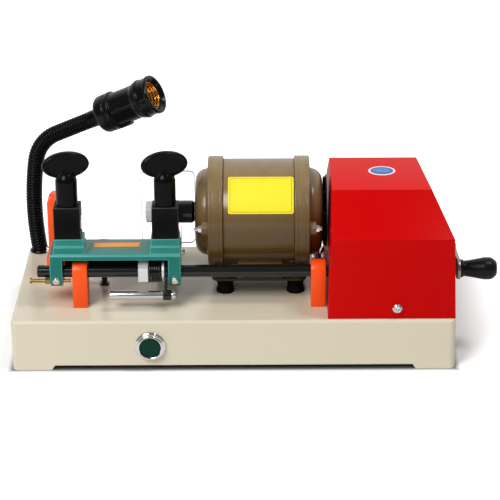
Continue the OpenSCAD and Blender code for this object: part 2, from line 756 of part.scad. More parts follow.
// The hood as a solid with all faces moved in by t, open downward by drop
module hood_solid(t, drop) {
    slope_run = 50;   // depth of the front and the back slope
    left_lean = 4.5;  // how far the left wall leans in up to the top
    right_lean = 3.1; // how far the right wall leans in up to the knee
    top_l = 100;
    top_skew = 8;     // how much shorter the top is at its back
    corner_trim = 0.5; // keeps the right slope's lower corner off the knee
    knee_z = base_h + cover_knee_h;
    top_z = base_h + cover_h;
    rise = cover_h - cover_knee_h;
    knee = [cover_x1 - right_lean, cover_y0, knee_z];
    top_front = [cover_x0 + left_lean + top_l, cover_y0 + slope_run, top_z];
    top_back = [top_front[0] - top_skew, cover_y1 - slope_run, top_z];
    intersection() {
        behind([0, 0, base_h - drop], [0, 0, -1]);
        behind([0, cover_y0, 0], [0, -1, 0], t);
        behind([0, cover_y1, 0], [0, 1, 0], t);
        behind([cover_x0, 0, base_h], [-cover_h, 0, left_lean], t);
        behind([cover_x1, 0, base_h], [cover_knee_h, 0, right_lean], t);
        behind(knee, [0, -rise, slope_run], t);
        behind([0, cover_y1, knee_z], [0, rise, slope_run], t);
        behind([0, 0, top_z], [0, 0, 1], t);
        behind(knee, cross(top_back - knee, top_front - knee), t + corner_trim);
    }
}

module cover() color("red") translate(frame_shift) difference() {
    hood_solid(0, -fit_gap);
    hood_solid(cover_t, 1);
    xcyl(cover_x0 - 5, cover_x0 + 12, rod_y, rod_z, rod_r + 2);
    xcyl(cover_x1 - 12, cover_x1 + 5, crank_y, crank_z, journal_r + 1.5);
    ycyl(cover_screw_x, cover_y0 - 5, cover_y0 + 5, cover_screw_z, 2.4);
    ycyl(cover_screw_x, cover_y1 - 5, cover_y1 + 5, cover_screw_z, 2.4);
}

guard_y0 = 36.5;
guard_x1 = motor_left - 1.5;
guard_x0 = guard_x1 - guard_w;
guard_z1 = motor_z + 31.5;
guard_z0 = guard_z1 - guard_h;
guard_screws = [for (s = [-1, 1]) [cutter_x + 4 + s * 6, guard_z0 + 12]];
guard_foot = [cutter_x + 4, guard_y0 + guard_t + 12];
guard_foot_t = 2;

// Pan-head screws of the cover and the guard
module small_screws() color("silver") translate(frame_shift) {
    translate([cover_screw_x, cover_y0, cover_screw_z]) rotate([90, 0, 0]) pan_head(10, 3.4);
    ycyl(cover_screw_x, cover_y0 - eps, cover_y0 + 9, cover_screw_z, 2 - fit_gap);
    translate([cover_screw_x, cover_y1, cover_screw_z]) rotate([-90, 0, 0]) pan_head(10, 1.9);
    ycyl(cover_screw_x, cover_y1 - 9, cover_y1 + eps, cover_screw_z, 2 - fit_gap);
    for (p = guard_screws) {
        translate([p[0], guard_y0, p[1]]) rotate([90, 0, 0]) pan_head(6, 2.4);
        ycyl(p[0], guard_y0 - eps, guard_y0 + guard_t + 4, p[1], 1.5 - fit_gap);
    }
    translate([guard_foot[0], guard_foot[1], base_h + guard_foot_t]) {
        pan_head(7, 2.6);
        mirror([0, 0, 1]) cylinder(r = 2 - fit_gap, h = guard_foot_t + base_wall + 3);
    }
}

// Two bearing posts for the feed screw, hidden by the cover
module feed_brackets() color("#707478") translate(frame_shift)
    for (x = [cover_x0 + 13, cover_x1 - 13]) difference() {
        union() {
            box([x - 5, crank_y - 13, base_h], [x + 5, crank_y + 13, crank_z]);
            xcyl(x - 5, x + 5, crank_y, crank_z, 13);
            box([x - 5, crank_y - 22, base_h], [x + 5, crank_y + 22, base_h + 6]);
        }
        xcyl(x - 6, x + 6, crank_y, crank_z, journal_r + run_gap);
        translate([x, crank_y, base_h - 1]) cylinder(d = anchor_bolt_d, h = 19);
    }

// Steel strip that carries the guard, bolted flat to the base
module guard_bracket() color("silver") translate(frame_shift) {
    y = guard_y0 + guard_t + fit_gap;
    t = guard_foot_t;
    x = guard_foot[0];
    difference() {
        union() {
            box([x - 11, y, base_h], [x + 11, y + t, guard_z0 + 20]);
            box([x - 11, y, base_h], [x + 11, y + 20, base_h + t]);
        }
        for (p = guard_screws) ycyl(p[0], y - 1, y + t + 1, p[1], 1.5);
        translate([guard_foot[0], guard_foot[1], base_h - 1]) cylinder(r = 2, h = t + 2);
    }
}

// Clear plate behind the cutter
module guard() color("white", 0.35) translate(frame_shift) difference() {
    translate([guard_x0 + guard_w / 2, guard_y0 + guard_t, guard_z0 + guard_h / 2]) rotate([90, 0, 0])
        linear_extrude(guard_t) round_rect(guard_w, guard_h, 6);
    for (p = guard_screws) ycyl(p[0], guard_y0 - 1, guard_y0 + guard_t + 1, p[1], 1.5);
}

// Earth stud with its wing nut
module earth_terminal() color("silver") translate(frame_shift) {
    x = cover_x0 - 6.8;
    y = base_d / 2 - 33;
    difference() {
        union() {
            translate([x, y, base_h]) cylinder(r = 6, h = 1.2);
            translate([x, y, base_h + 1]) cylinder(r = 2.4, h = 10);
            translate([x, y, base_h + 1.2]) cylinder(r1 = 4.6, r2 = 3.6, h = 4.4);
        }
    }
    for (s = [-1, 1]) translate([x, y, base_h + 2.6]) rotate([0, 0, 25]) rotate([90, 0, 0])
        translate([0, 0, -1]) linear_extrude(2) polygon([[s * 2.6, 0], [s * 7, 3], [s * 8, 8.4],
            [s * 5.6, 8.8], [s * 2.6, 3]]);
}

// Feed screw with its two journals and the square end that takes the crank
module feed_screw() color("silver") translate(frame_shift) {
    left = cover_x0 + 13;
    right = cover_x1 - 13;
    groove = 0.8;
    pitch = feed_lead / 2; // two starts
    first = left + 8;
    last = right - 8;
    count = floor((last - first) / pitch);
    ridges = [for (i = [0 : count - 1]) for (p = [[feed_r - groove, 0], [feed_r, 0.5], [feed_r, 1.2],
        [feed_r - groove, 1.7]]) [p[0], first - left + i * pitch + p[1]]];
    translate([left, crank_y, crank_z]) rotate([0, 90, 0]) rotate_extrude()
        polygon(concat([[0, -5], [journal_r, -5], [journal_r, 5.4], [feed_r - groove, 5.4]], ridges,
            [[feed_r - groove, right - left - 5.4], [journal_r, right - left - 5.4],
            [journal_r, hub_x + 6.6 - left], [0, hub_x + 6.6 - left]]));
}

// Yoke that joins the feed nut to the rod
module feed_yoke() color("#a5814a") translate(frame_shift) difference() {
    x0 = yoke_x - yoke_t / 2;
    x1 = yoke_x + yoke_t / 2;
    union() {
        box([x0, rod_y, rod_z - 12], [x1, crank_y, rod_z + 12]);
        xcyl(x0, x1, rod_y, rod_z, 12);
        xcyl(x0, x1, crank_y, crank_z, 12);
        xcyl(x0 - 5, x1 + 5, crank_y, crank_z, 10.5);
    }
    xcyl(x0 - 1, x1 + 1, rod_y, rod_z, rod_r + fit_gap);
    xcyl(x0 - 6, x1 + 6, crank_y, crank_z, feed_r + run_gap);
}

// Crank arm with its hub and the shoulder pin of the grip
module crank_arm() color("silver") translate(frame_shift) difference() {
    pin_r = 4;
    union() {
        xcyl(hub_x, arm_x + crank_t, crank_y, crank_z, 10);
        box([arm_x, grip_y, crank_z - 9], [arm_x + crank_t, crank_y, crank_z + 9]);
        xcyl(arm_x, arm_x + crank_t, crank_y, crank_z, 11);
        xcyl(arm_x, arm_x + crank_t, grip_y, crank_z, 11);
        xcyl(arm_x, grip_x0 + grip_l - 8, grip_y, crank_z, pin_r);
    }
    xcyl(hub_x - 1, hub_x + 6.6 + eps, crank_y, crank_z, journal_r + fit_gap);
}

// Turned grip that spins on the pin
module crank_grip() color("#141414") translate(frame_shift) difference() {
    waist = grip_r * 0.72;
    bulge = grip_l * 0.66;
    collar_l = 2.6;
    collar_r = grip_r * 0.86;
    translate([grip_x0, grip_y, crank_z]) rotate([0, 90, 0]) rotate_extrude()
        polygon(concat([[0, 0], [collar_r, 0], [collar_r, collar_l - 0.6], [collar_r - 0.6, collar_l], [waist, collar_l + 0.6]],
            [for (i = [1 : 8]) [waist + (grip_r - waist) * (1 - cos(i * 22.5)) / 2,
                collar_l + 0.6 + (bulge - collar_l - 0.6) * i / 8]],
            [for (i = [1 : 9]) [grip_r * cos(i * 10), bulge + (grip_l - bulge) * sin(i * 10)]]));
    xcyl(grip_x0 - 1, grip_x0 + grip_l - 7.5, grip_y, crank_z, 4 + run_gap);
}

// Rod and carriage ------------------------------------------------------------------

lever_x1 = carriage_x1 - arm_w - 1;
lever_t = 3;
washer_x1 = lever_x1 - lever_t - 0.3;
washer_t = 2.4;
spring_x1 = washer_x1 - washer_t - fit_gap;
spring_turns = 5;
spring_wire = 2.1;
spring_gap = 2.5;
spring_leg = 3.4;
spring_l = spring_turns * (spring_wire + 0.25) + spring_wire;
collar_x1 = spring_x1 - spring_l - fit_gap;
collar_w = 10;
rod_x1 = yoke_x + yoke_t / 2 + 2;

module carriage_rod() color("#181818") translate(frame_shift) {
    xcyl(rod_x0 + 1, rod_x1, rod_y, rod_z, rod_r);
    translate([rod_x0, rod_y, rod_z]) rotate([0, 90, 0]) cylinder(r1 = rod_r - 1, r2 = rod_r, h = 1.01);
}

// Hexagonal collar that winds the spring, and the thrust washer
module rod_collars() color("silver") translate(frame_shift) {
    difference() {
        translate([collar_x1 - collar_w, rod_y, rod_z]) rotate([0, 90, 0]) rotate(0) hex(24, collar_w);
        xcyl(collar_x1 - collar_w - 1, collar_x1 + 1, rod_y, rod_z, rod_r + fit_gap);
    }
    difference() {
        xcyl(washer_x1 - washer_t, washer_x1, rod_y, rod_z, 10.7);
        xcyl(washer_x1 - washer_t - 1, washer_x1 + 1, rod_y, rod_z, rod_r + fit_gap);
    }
}

// Close-wound torsion spring about the rod, its ends bent out radially
module tilt_spring() color("#1e1e1e") translate(frame_shift)
    translate([spring_x1 - spring_l, rod_y, rod_z]) {
        slices = 24;
        sides = 10;
        count = spring_turns * slices;
        mean_r = rod_r + spring_gap + spring_wire / 2;
        advance = (spring_l - spring_wire) / count;
        points = [for (i = [0 : count], j = [0 : sides - 1]) let (a = i * 360 / slices, b = j * 360 / sides,
            r = mean_r + spring_wire / 2 * cos(b))
            [spring_wire / 2 + i * advance + spring_wire / 2 * sin(b), r * cos(a), r * sin(a)]];
        rings = [for (i = [0 : count - 1], j = [0 : sides - 1]) let (k = (j + 1) % sides)
            [i * sides + j, i * sides + k, (i + 1) * sides + k, (i + 1) * sides + j]];
        last = count * sides;
        polyhedron(points = points, faces = concat(rings, [[for (j = [sides - 1 : -1 : 0]) j],
            [for (j = [0 : sides - 1]) last + j]]), convexity = 6);
        for (x = [spring_wire / 2, spring_l - spring_wire / 2]) translate([x, mean_r, 0]) rotate([0, 90, 90])
            cylinder(d = spring_wire, h = spring_leg, $fn = 16);
    }

lug_x = carriage_x0 + 50.5;
lug_y = -4.9;
lug_w = 12;
notch_x0 = cutter_x - cutter_t / 2 - 3;
step_h = (vise_z0 - plate_z1) / 2;

// Stepped pedestal under a vise, between x0 and x1
module pedestal(x0, x1) {
    box([x0 - 0.8, vise_y0 - 2.6, plate_z1 - eps], [x1 + 0.8, vise_y1 + 2, plate_z1 + step_h]);
    box([x0, vise_y0 - 0.2, plate_z1 - eps], [x1, vise_y1, vise_z0]);
}

// Cast bridge: plate, two arms about the rod, two pedestals and the stop lug
module carriage_frame() color("#17806f") translate(frame_shift) difference() {
    union() {
        translate([carriage_x0, 0, 0]) rotate([90, 0, 90]) linear_extrude(carriage_l)
            polygon([[plate_y0, plate_z0], [plate_y1, plate_z0], [plate_y1, plate_z1 - 1],
                [plate_y1 - 1, plate_z1], [plate_y0 + 1.2, plate_z1], [plate_y0, plate_z1 - 1.2]]);
        for (x = [carriage_x0, carriage_x1 - arm_w]) translate([x, 0, 0]) rotate([90, 0, 90])
            linear_extrude(arm_w) polygon([[rod_y - arm_d / 2, plate_z0 + 1], [rod_y - arm_d / 2, rod_z - arm_drop + 4],
                [rod_y - arm_d / 2 + 4, rod_z - arm_drop], [rod_y + arm_d / 2 - 4, rod_z - arm_drop],
                [rod_y + arm_d / 2, rod_z - arm_drop + 4], [rod_y + arm_d / 2, plate_z0 + 1]]);
        pedestal(left_vise_x - vise_w / 2 - 0.5, left_vise_x + vise_w / 2 + 2.5);
        pedestal(right_vise_x - vise_w / 2 - 1.5, carriage_x1 - 0.8);
        translate([lug_x - lug_w / 2, 0, 0]) rotate([90, 0, 90]) linear_extrude(lug_w)
            polygon([[plate_y1 - 17, plate_z0 + 1], [plate_y1 - 1, plate_z0 + 1], [plate_y1, plate_z0 - 3],
                [lug_y + 6, plate_z0 - 3.5], [lug_y + 6, plate_z0 - 10.5], [plate_y1 - 3, plate_z0 - 10.5]]);
    }
    for (x = [left_arm_x, right_arm_x]) xcyl(x - arm_w, x + arm_w, rod_y, rod_z, rod_r + run_gap);
    // Clearance round the cutter over the whole stroke
    box([notch_x0, plate_y1 - 6, plate_z0 - 1], [carriage_x1 + 1, plate_y1 + 1, plate_z1 + 1]);
    translate([lug_x, lug_y, plate_z0 - 20]) cylinder(r = 3, h = 30);
    for (x = [left_arm_x, right_arm_x]) ycyl(x, rod_y - arm_d / 2 - 1, rod_y - arm_d / 2 + 2.4, arm_screw_z, 2);
    xcyl(carriage_x0 - 1, carriage_x0 + arm_w + 1, stop_y, stop_z, stop_r + fit_gap);
    xcyl(carriage_x1 - 6, carriage_x1 + 1, stop_screw_y, stop_screw_z, 1.6);
}

arm_screw_z = rod_z - 5.6;
stop_r = 1.9;
stop_y = rod_y - 6.7;
stop_z = rod_z - 7.4;
stop_screw_y = -43;
stop_screw_z = plate_z1 - 6;

// Pan-head screws in the front of the two arms
module arm_screws() color("silver") translate(frame_shift)
    for (x = [left_arm_x, right_arm_x]) {
        translate([x, rod_y - arm_d / 2, arm_screw_z]) rotate([90, 0, 0]) pan_head(7.5, 2.6);
        ycyl(x, rod_y - arm_d / 2 - eps, rod_y - arm_d / 2 + 2.2, arm_screw_z, 2 - fit_gap);
    }

// Brass screw that stops the carriage against the left bracket, with its lock nut
module stop_pin() color("#b5954e") translate(frame_shift) {
    tip = left_bracket_x - bracket_w / 2 - 1.8;
    xcyl(carriage_x0 - 19, tip, stop_y, stop_z, stop_r);
    xcyl(carriage_x0 - 21, carriage_x0 - 19 + eps, stop_y, stop_z, 2.9);
    translate([carriage_x0 - 5.4, stop_y, stop_z]) rotate([0, 90, 0]) hex(7, 5.2);
}

// Screw and rubber-faced foot that set how far the carriage can tilt in
module tilt_stop_screw() color("#202020") translate(frame_shift) translate([lug_x, lug_y, 0]) {
    translate([0, 0, base_h + seat_gap]) cylinder(r = 5.1, h = 2.4);
    translate([0, 0, base_h + seat_gap]) cylinder(r = 3 - fit_gap, h = plate_z0 - 2.6 - base_h);
    translate([0, 0, plate_z0 - 10.6 - 4]) hex(10, 4);
}

// Spring strip at the right vise that the key's shoulder is set against
module key_stop() color("silver") translate(frame_shift) {
    x = carriage_x1 + fit_gap;
    difference() {
        union() {
            box([x, stop_screw_y - 4, stop_screw_z - 5], [x + 0.8, stop_screw_y + 4, plate_z1 + 4]);
            box([x, stop_screw_y - 1, plate_z1], [x + 0.8, stop_screw_y + 4, vise_lip_z + 3]);
        }
        xcyl(x - 1, x + 2, stop_screw_y, stop_screw_z, 1.6);
    }
    xcyl(x - 5, x + 0.9, stop_screw_y, stop_screw_z, 1.6 - fit_gap);
    translate([x + 0.8, stop_screw_y, stop_screw_z]) rotate([0, 90, 0]) pan_head(6.4, 3);
}

// Vise block with the slot for jaw and key, open to the back and both sides
module vise_block(x) {
    x0 = x - vise_w / 2;
    x1 = x + vise_w / 2;
    difference() {
        box([x0, vise_y0, vise_z0], [x1, vise_y1, vise_z1]);
        box([x0 - 1, vise_y0 + vise_front_t, vise_lip_z], [x1 + 1, vise_y1 + 1, vise_lip_z + vise_slot_h]);
        translate([x, knob_y, vise_z1 - 30]) cylinder(d = clamp_d + 2 * run_gap, h = 40);
        // Key rest groove along the lip
        box([x0 - 1, vise_y1 - 5, vise_lip_z - 0.7], [x1 + 1, vise_y1 - 3.6, vise_lip_z + 1]);
    }
}

module left_vise() color("#1b1b1b") translate(frame_shift) vise_block(left_vise_x);

module right_vise() color("#1b1b1b") translate(frame_shift) vise_block(right_vise_x);

// Sliding jaw with the pocket that the clamp screw presses in
module jaw(x) {
    y0 = vise_y0 + vise_front_t + seat_gap;
    difference() {
        box([x - vise_w / 2 + seat_gap, y0, jaw_z0], [x + vise_w / 2 - seat_gap, vise_y1 - 0.2, jaw_z1]);
        translate([x, knob_y, jaw_z1 - pocket_h]) cylinder(d = clamp_d + 2 * run_gap, h = 10);
    }
    // Ridge that bears on the key
    box([x - vise_w / 2 + seat_gap, vise_y1 - jaw_ridge_w, jaw_z0 - jaw_ridge_h],
        [x + vise_w / 2 - seat_gap, vise_y1 - 0.2, jaw_z0 + eps]);
}

module left_jaw() color("#8d9296") translate(frame_shift) jaw(left_vise_x);

module right_jaw() color("#8d9296") translate(frame_shift) jaw(right_vise_x);

clamp_z0 = jaw_z1 - pocket_h + run_gap;
insert_h = 14;

// Steel screw of a clamp knob
module clamp_screw(x) {
    translate([x, knob_y, clamp_z0]) cylinder(d = clamp_d, h = knob_z0 + insert_h - clamp_z0);
}

module left_clamp_screw() color("silver") translate(frame_shift) clamp_screw(left_vise_x);

module right_clamp_screw() color("silver") translate(frame_shift) clamp_screw(right_vise_x);

// An oval outline, w wide and h high
module oval(w, h) {
    polygon([for (i = [0 : 47]) [w / 2 * cos(i * 7.5), h / 2 * sin(i * 7.5)]]);
}

// Moulded knob: round stem, domed neck and a dished oval wing
module knob(x) translate([x, knob_y, knob_z0]) {
    stem_r = knob_d / 2;
    neck_r = stem_r * 0.68;
    head_z = knob_stem_h + knob_head_h / 2 + 1.85;
    difference() {
        union() {
            cylinder(r = stem_r, h = knob_stem_h - 1);
            translate([0, 0, knob_stem_h - 1]) cylinder(r1 = stem_r, r2 = stem_r - 1, h = 1);
            translate([0, 0, knob_stem_h]) cylinder(r1 = stem_r - 1, r2 = neck_r, h = 2.2);
            translate([0, 0, knob_stem_h + 1.2]) sphere(r = neck_r);
            rotate(knob_turn) translate([0, knob_head_t / 2, head_z]) rotate([90, 0, 0])
                linear_extrude(knob_head_t) oval(knob_w, knob_head_h);
        }
        // Dished front and back faces, clear of the neck
        rotate(knob_turn) for (s = [-1, 1]) difference() {
            translate([0, s * knob_head_t / 2 + 0.9, head_z]) rotate([90, 0, 0])
                linear_extrude(1.8) oval(knob_w - 5, knob_head_h - 5);
            cylinder(r = neck_r + 0.6, h = knob_stem_h + 12);
        }
        translate([0, 0, -1]) cylinder(d = clamp_d + 2 * fit_gap, h = insert_h + 1 + fit_gap);
    }
}

module left_knob() color("#121212") translate(frame_shift) knob(left_vise_x);

module right_knob() color("#121212") translate(frame_shift) knob(right_vise_x);

gauge_y = rod_y - 18;
gauge_z = rod_z - 19;
gauge_r = 3.5;

// Lever that hangs on the rod and carries the key gauge
module gauge_lever() color("#1a1a1a") translate(frame_shift) difference() {
    x0 = lever_x1 - lever_t;
    union() {
        xcyl(x0, lever_x1, rod_y, rod_z, 10);
        translate([x0, 0, 0]) rotate([90, 0, 90]) linear_extrude(lever_t) hull() {
            translate([rod_y, rod_z]) circle(r = 8);
            translate([gauge_y, gauge_z]) circle(r = 5.4);
        }
        xcyl(x0 - 1, x0 + 7, gauge_y, gauge_z, 5.4);
    }
    xcyl(x0 - 2, lever_x1 + 6, rod_y, rod_z, rod_r + run_gap);
    xcyl(x0 - 2, x0 + 8, gauge_y, gauge_z, gauge_r + fit_gap);
}

module gauge_bar() color("silver") translate(frame_shift) {
    xcyl(lever_x1 - 59.4, carriage_x1 - 5, gauge_y, gauge_z, gauge_r);
}

// Lamp --------------------------------------------------------------------------------

// Heading of the neck and its place at the end of each stretch, in its own plane
low_end = [neck_low_r * (sin(neck_start) - sin(neck_start - neck_low_turn)),
    neck_low_r * (cos(neck_start - neck_low_turn) - cos(neck_start))];
bend_from = neck_start - neck_low_turn;
bend_end = low_end + [neck_bend_r * (sin(bend_from) - sin(holder_pitch)),
    neck_bend_r * (cos(holder_pitch) - cos(bend_from))];
neck_tip = bend_end + neck_end_l * [cos(holder_pitch), sin(holder_pitch)];
low_l = neck_low_r * neck_low_turn * PI / 180;
bend_l = neck_bend_r * neck_bend_turn * PI / 180;
neck_l = low_l + bend_l + neck_end_l;

// Heading and place at a length s along the neck
function heading(s) = s < low_l ? neck_start - s / neck_low_r * 180 / PI
    : s < low_l + bend_l ? bend_from - (s - low_l) / neck_bend_r * 180 / PI : holder_pitch;
function along(s) = s < low_l
    ? neck_low_r * [sin(neck_start) - sin(heading(s)), cos(heading(s)) - cos(neck_start)]
    : s < low_l + bend_l
    ? low_end + neck_bend_r * [sin(bend_from) - sin(heading(s)), cos(heading(s)) - cos(bend_from)]
    : bend_end + (s - low_l - bend_l) * [cos(holder_pitch), sin(holder_pitch)];

// Puts children, built along +Z, on the neck at length s
module on_neck(s) {
    translate([neck_x, neck_y, neck_z]) rotate(lamp_yaw)
        translate([along(s)[0], 0, along(s)[1]]) rotate([0, 90 - heading(s), 0]) children();
}

// A bent tube that starts on the neck at s, turning right by angle about radius r
module bend(s, r, angle, tube_r) {
    on_neck(s) translate([r, 0, 0]) rotate([90, 0, 0]) rotate([0, 0, 180 - angle])
        rotate_extrude(angle = angle, $fn = 96) translate([r, 0]) circle(r = tube_r, $fn = 18);
}

// The middles of the ribs on a stretch of length l that starts at s, without its two ends
function rib_places(s, l) = [for (i = [1 : round(l / neck_pitch) - 1]) s + i * l / round(l / neck_pitch)];

// Ribbed flexible neck with a plain spigot through the base
module gooseneck() color("#161616") translate(frame_shift) {
    core_r = neck_r - 1.4;
    rib_w = neck_pitch * 0.6;
    trim = rib_w / 4;
    deg = 180 / PI;
    bend(0, neck_low_r, neck_low_turn - trim / neck_low_r * deg, core_r);
    bend(low_l + trim, neck_bend_r, neck_bend_turn - 2 * trim / neck_bend_r * deg, core_r);
    on_neck(low_l + bend_l + trim) cylinder(r = core_r, h = neck_end_l - trim, $fn = 18);
    for (s = rib_places(0, low_l)) bend(s - rib_w / 2, neck_low_r, rib_w / neck_low_r * deg, neck_r);
    for (s = rib_places(low_l, bend_l)) bend(s - rib_w / 2, neck_bend_r, rib_w / neck_bend_r * deg, neck_r);
    for (s = concat([rib_w / 2, low_l, low_l + bend_l], rib_places(low_l + bend_l, neck_end_l)))
        on_neck(s) translate([0, 0, -rib_w / 2]) cylinder(r = neck_r, h = rib_w, $fn = 18);
    translate([neck_x, neck_y, base_h]) cylinder(r = neck_r - 0.6, h = neck_z - base_h + 1);
    translate([neck_x, neck_y, base_h - base_wall - 6]) cylinder(r = neck_hole_r, h = base_wall + 8);
}

cap_l = 15.4;
shell_z0 = holder_l - 24;
shell_z1 = holder_l - 4;
shell_t = 0.7;

// Rear cap of the lamp holder, screwed on the neck
module lamp_cap() color("#101010") translate(frame_shift) on_neck(neck_l) {
    translate([0, 0, fit_gap]) difference() {
        rotate_extrude() union() {
            translate([0, 6]) square([20, cap_l - 6]);
            intersection() {
                translate([14, 6]) circle(r = 6);
                square([20, 12]);
            }
            square([14, 12]);
        }
        translate([0, 0, 3]) cylinder(r = 15, h = 20);
        translate([0, 0, -1]) cylinder(r = 5, h = 10);
    }
}

// Barrel of the lamp holder with its front ring
module lamp_body() color("#101010") translate(frame_shift) on_neck(neck_l) difference() {
    z0 = cap_l + 2 * fit_gap;
    union() {
        translate([0, 0, 6]) cylinder(r = 14.9, h = 12);
        translate([0, 0, z0]) cylinder(r = 18.6, h = 1.4);
        translate([0, 0, z0 + 1.4]) cylinder(r = 20.2, h = 4);
        translate([0, 0, z0]) cylinder(r = holder_r, h = holder_l - 22 - z0);
        translate([0, 0, holder_l - 22.1]) cylinder(r1 = holder_r, r2 = holder_ring_r - 1.4, h = 5);
        translate([0, 0, holder_l - 17.2]) cylinder(r = holder_ring_r - 1.4, h = 16);
        translate([0, 0, holder_l - 10]) rotate_extrude() {
            square([holder_ring_r - 1, 10]);
            translate([0, 1]) square([holder_ring_r, 8]);
            for (z = [1, 9]) translate([holder_ring_r - 1, z]) circle(r = 1);
        }
        rotate(150) translate([holder_r - 2, -4, z0 + 1.4]) cube([4.2, 8, 12]);
    }
    translate([0, 0, shell_z0 - 6]) cylinder(r = shell_r + shell_t + fit_gap, h = holder_l);
    translate([0, 0, shell_z1 + 0.4]) cylinder(r1 = shell_r + shell_t, r2 = 17, h = 4);
    cylinder(r = 5, h = holder_l);
}

// Brass shell that takes the lamp's screw cap
module lamp_shell() color("#c48a35") translate(frame_shift) on_neck(neck_l) difference() {
    translate([0, 0, shell_z0]) cylinder(r = shell_r + shell_t, h = shell_z1 - shell_z0);
    translate([0, 0, shell_z0 - 1]) cylinder(r = shell_r, h = 40);
}

// Insulator behind the shell with the sprung centre contact
module lamp_insert() color("#d9d2c2") translate(frame_shift) on_neck(neck_l) {
    contact_h = 1.2;
    top = shell_z0 - seat_gap;
    translate([0, 0, shell_z0 - 6 + fit_gap]) cylinder(r = shell_r + shell_t, h = 3);
    translate([0, 0, shell_z0 - 4]) cylinder(r = 4, h = top - contact_h - shell_z0 + 4);
    translate([0, 0, top - contact_h]) cylinder(r1 = 4, r2 = 2.6, h = contact_h);
}

base_pan();
switch_bezel();
switch_block();
run_capacitor();
left_bracket();
right_bracket();
rod_bushes();
tracer_post();
tracer_bar();
tracer_screws();
frame_fasteners();
motor_mounts();
motor_plate();
motor_body();
motor_bell_left();
motor_bell_right();
motor_tie_bolts();
stator();
motor_bearings();
cover();
small_screws();
feed_brackets();
guard_bracket();
guard();
earth_terminal();
gooseneck();
lamp_cap();
lamp_body();
lamp_shell();
lamp_insert();
motor_shaft();
rotor_core();
cutter_sleeve();
cutter();
cutter_nut();
cooling_fan();
carriage_rod();
rod_collars();
tilt_spring();
feed_yoke();
carriage_frame();
left_vise();
right_vise();
arm_screws();
stop_pin();
tilt_stop_screw();
key_stop();
left_jaw();
right_jaw();
left_knob();
right_knob();
left_clamp_screw();
right_clamp_screw();
gauge_lever();
gauge_bar();
feed_screw();
crank_arm();
crank_grip();
switch_button();
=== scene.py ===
"""Key duplicating machine: finishes, detailed pieces and stage around its solid frame."""

import math

import bmesh
import bpy
from bpy.props import FloatProperty, FloatVectorProperty, PointerProperty
from mathutils import Matrix, Vector


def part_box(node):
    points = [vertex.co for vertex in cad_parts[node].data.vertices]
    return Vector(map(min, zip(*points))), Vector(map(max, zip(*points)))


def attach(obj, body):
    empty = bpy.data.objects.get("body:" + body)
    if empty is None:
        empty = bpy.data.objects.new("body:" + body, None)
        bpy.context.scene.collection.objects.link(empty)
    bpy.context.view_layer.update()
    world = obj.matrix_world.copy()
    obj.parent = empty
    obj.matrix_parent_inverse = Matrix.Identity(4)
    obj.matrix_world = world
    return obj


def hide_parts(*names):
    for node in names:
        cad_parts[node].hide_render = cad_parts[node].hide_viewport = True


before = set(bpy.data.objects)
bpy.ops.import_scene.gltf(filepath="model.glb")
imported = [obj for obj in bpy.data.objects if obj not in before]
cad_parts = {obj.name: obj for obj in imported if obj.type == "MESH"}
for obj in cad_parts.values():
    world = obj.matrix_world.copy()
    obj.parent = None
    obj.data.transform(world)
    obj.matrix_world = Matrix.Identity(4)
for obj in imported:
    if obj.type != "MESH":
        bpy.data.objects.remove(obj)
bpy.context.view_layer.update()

bl_info = {
    "name": "Key Duplicating Machine",
    "version": (1, 0, 0),
    "blender": (4, 5, 0),
    "location": "3D View > Sidebar > Key Machine",
    "description": "Dresses the machine's frame with detailed pieces, finishes and a stage",
    "category": "Object",
}

MM = 0.001
base_low, base_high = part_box("base_pan")
BASE_MIDDLE = Vector(((base_low.x + base_high.x) / 2, (base_low.y + base_high.y) / 2, 0.0))

# Places that several pieces share, in millimetres from the base's middle at floor level
BASE_TOP = 54.0
ROD_Y, ROD_Z = -53.0, 90.0
CRANK_Y, CRANK_PIN_Y = 2.0, -50.0
MOTOR_X, MOTOR_Y, MOTOR_Z = 26.0, 2.0, 133.0
MOTOR_HALF, MOTOR_RADIUS = 36.5, 54.8
COVER_TOP = 174.2
VISES = {"left": -167.5, "right": -68.5}


# Property groups ------------------------------------------------------------


def colour(name, value, text):
    """A colour property with a default."""
    return FloatVectorProperty(name=name, description=text, subtype="COLOR", size=3, min=0.0, max=1.0,
                               default=value)


def length(name, value, text):
    """A length property in metres with a default."""
    return FloatProperty(name=name, description=text, subtype="DISTANCE", unit="LENGTH", min=0.0, default=value)


class MachineColours(bpy.types.PropertyGroup):
    """Paint and plastic colours of the machine."""

    base: colour("Base", (0.66, 0.6, 0.46), "Enamel of the base casting")
    orange: colour("Brackets", (0.95, 0.085, 0.004), "Enamel of the brackets and the tracer post")
    teal: colour("Carriage", (0.002, 0.155, 0.125), "Enamel of the carriage")
    motor: colour("Motor", (0.092, 0.051, 0.012), "Enamel of the motor")
    # Painted light: the next colour lightens the motor's faces that look up, standing for the light on its top.
    motor_painted_top_light: colour("Motor painted top light", (0.42, 0.3, 0.155), "Painted light on the enamel where the motor faces up")
    cover: colour("Cover", (0.52, 0.0015, 0.0015), "Enamel of the cover")
    # Painted reflection: the next colour is a lighter red for the cover's flat top, standing for the bright
    # backdrop it reflects.
    cover_painted_sheen: colour("Cover painted sheen", (0.7, 0.008, 0.008), "Painted light on the enamel of the cover's top")
    button: colour("Button", (0.002, 0.033, 0.018), "Lens of the push button")
    label: colour("Motor label", (0.88, 0.72, 0.02), "Field of the motor's label")
    strip: colour("Carriage strip", (0.85, 0.4, 0.05), "Field of the strip on the carriage")
    strip_edge: colour("Carriage strip edge", (0.75, 0.1, 0.015), "Border of the strip on the carriage")
    label_rule: colour("Label rules", (0.3, 0.24, 0.02), "Thin border line of the motor's label")
    badge: colour("Cover badge", (0.03, 0.11, 0.36), "Field of the oval sticker")
    badge_centre: colour("Badge centre", (0.09, 0.22, 0.55), "Paler middle of the oval sticker")
    badge_rim: colour("Badge rim", (0.85, 0.8, 0.82), "Rim of the oval sticker")


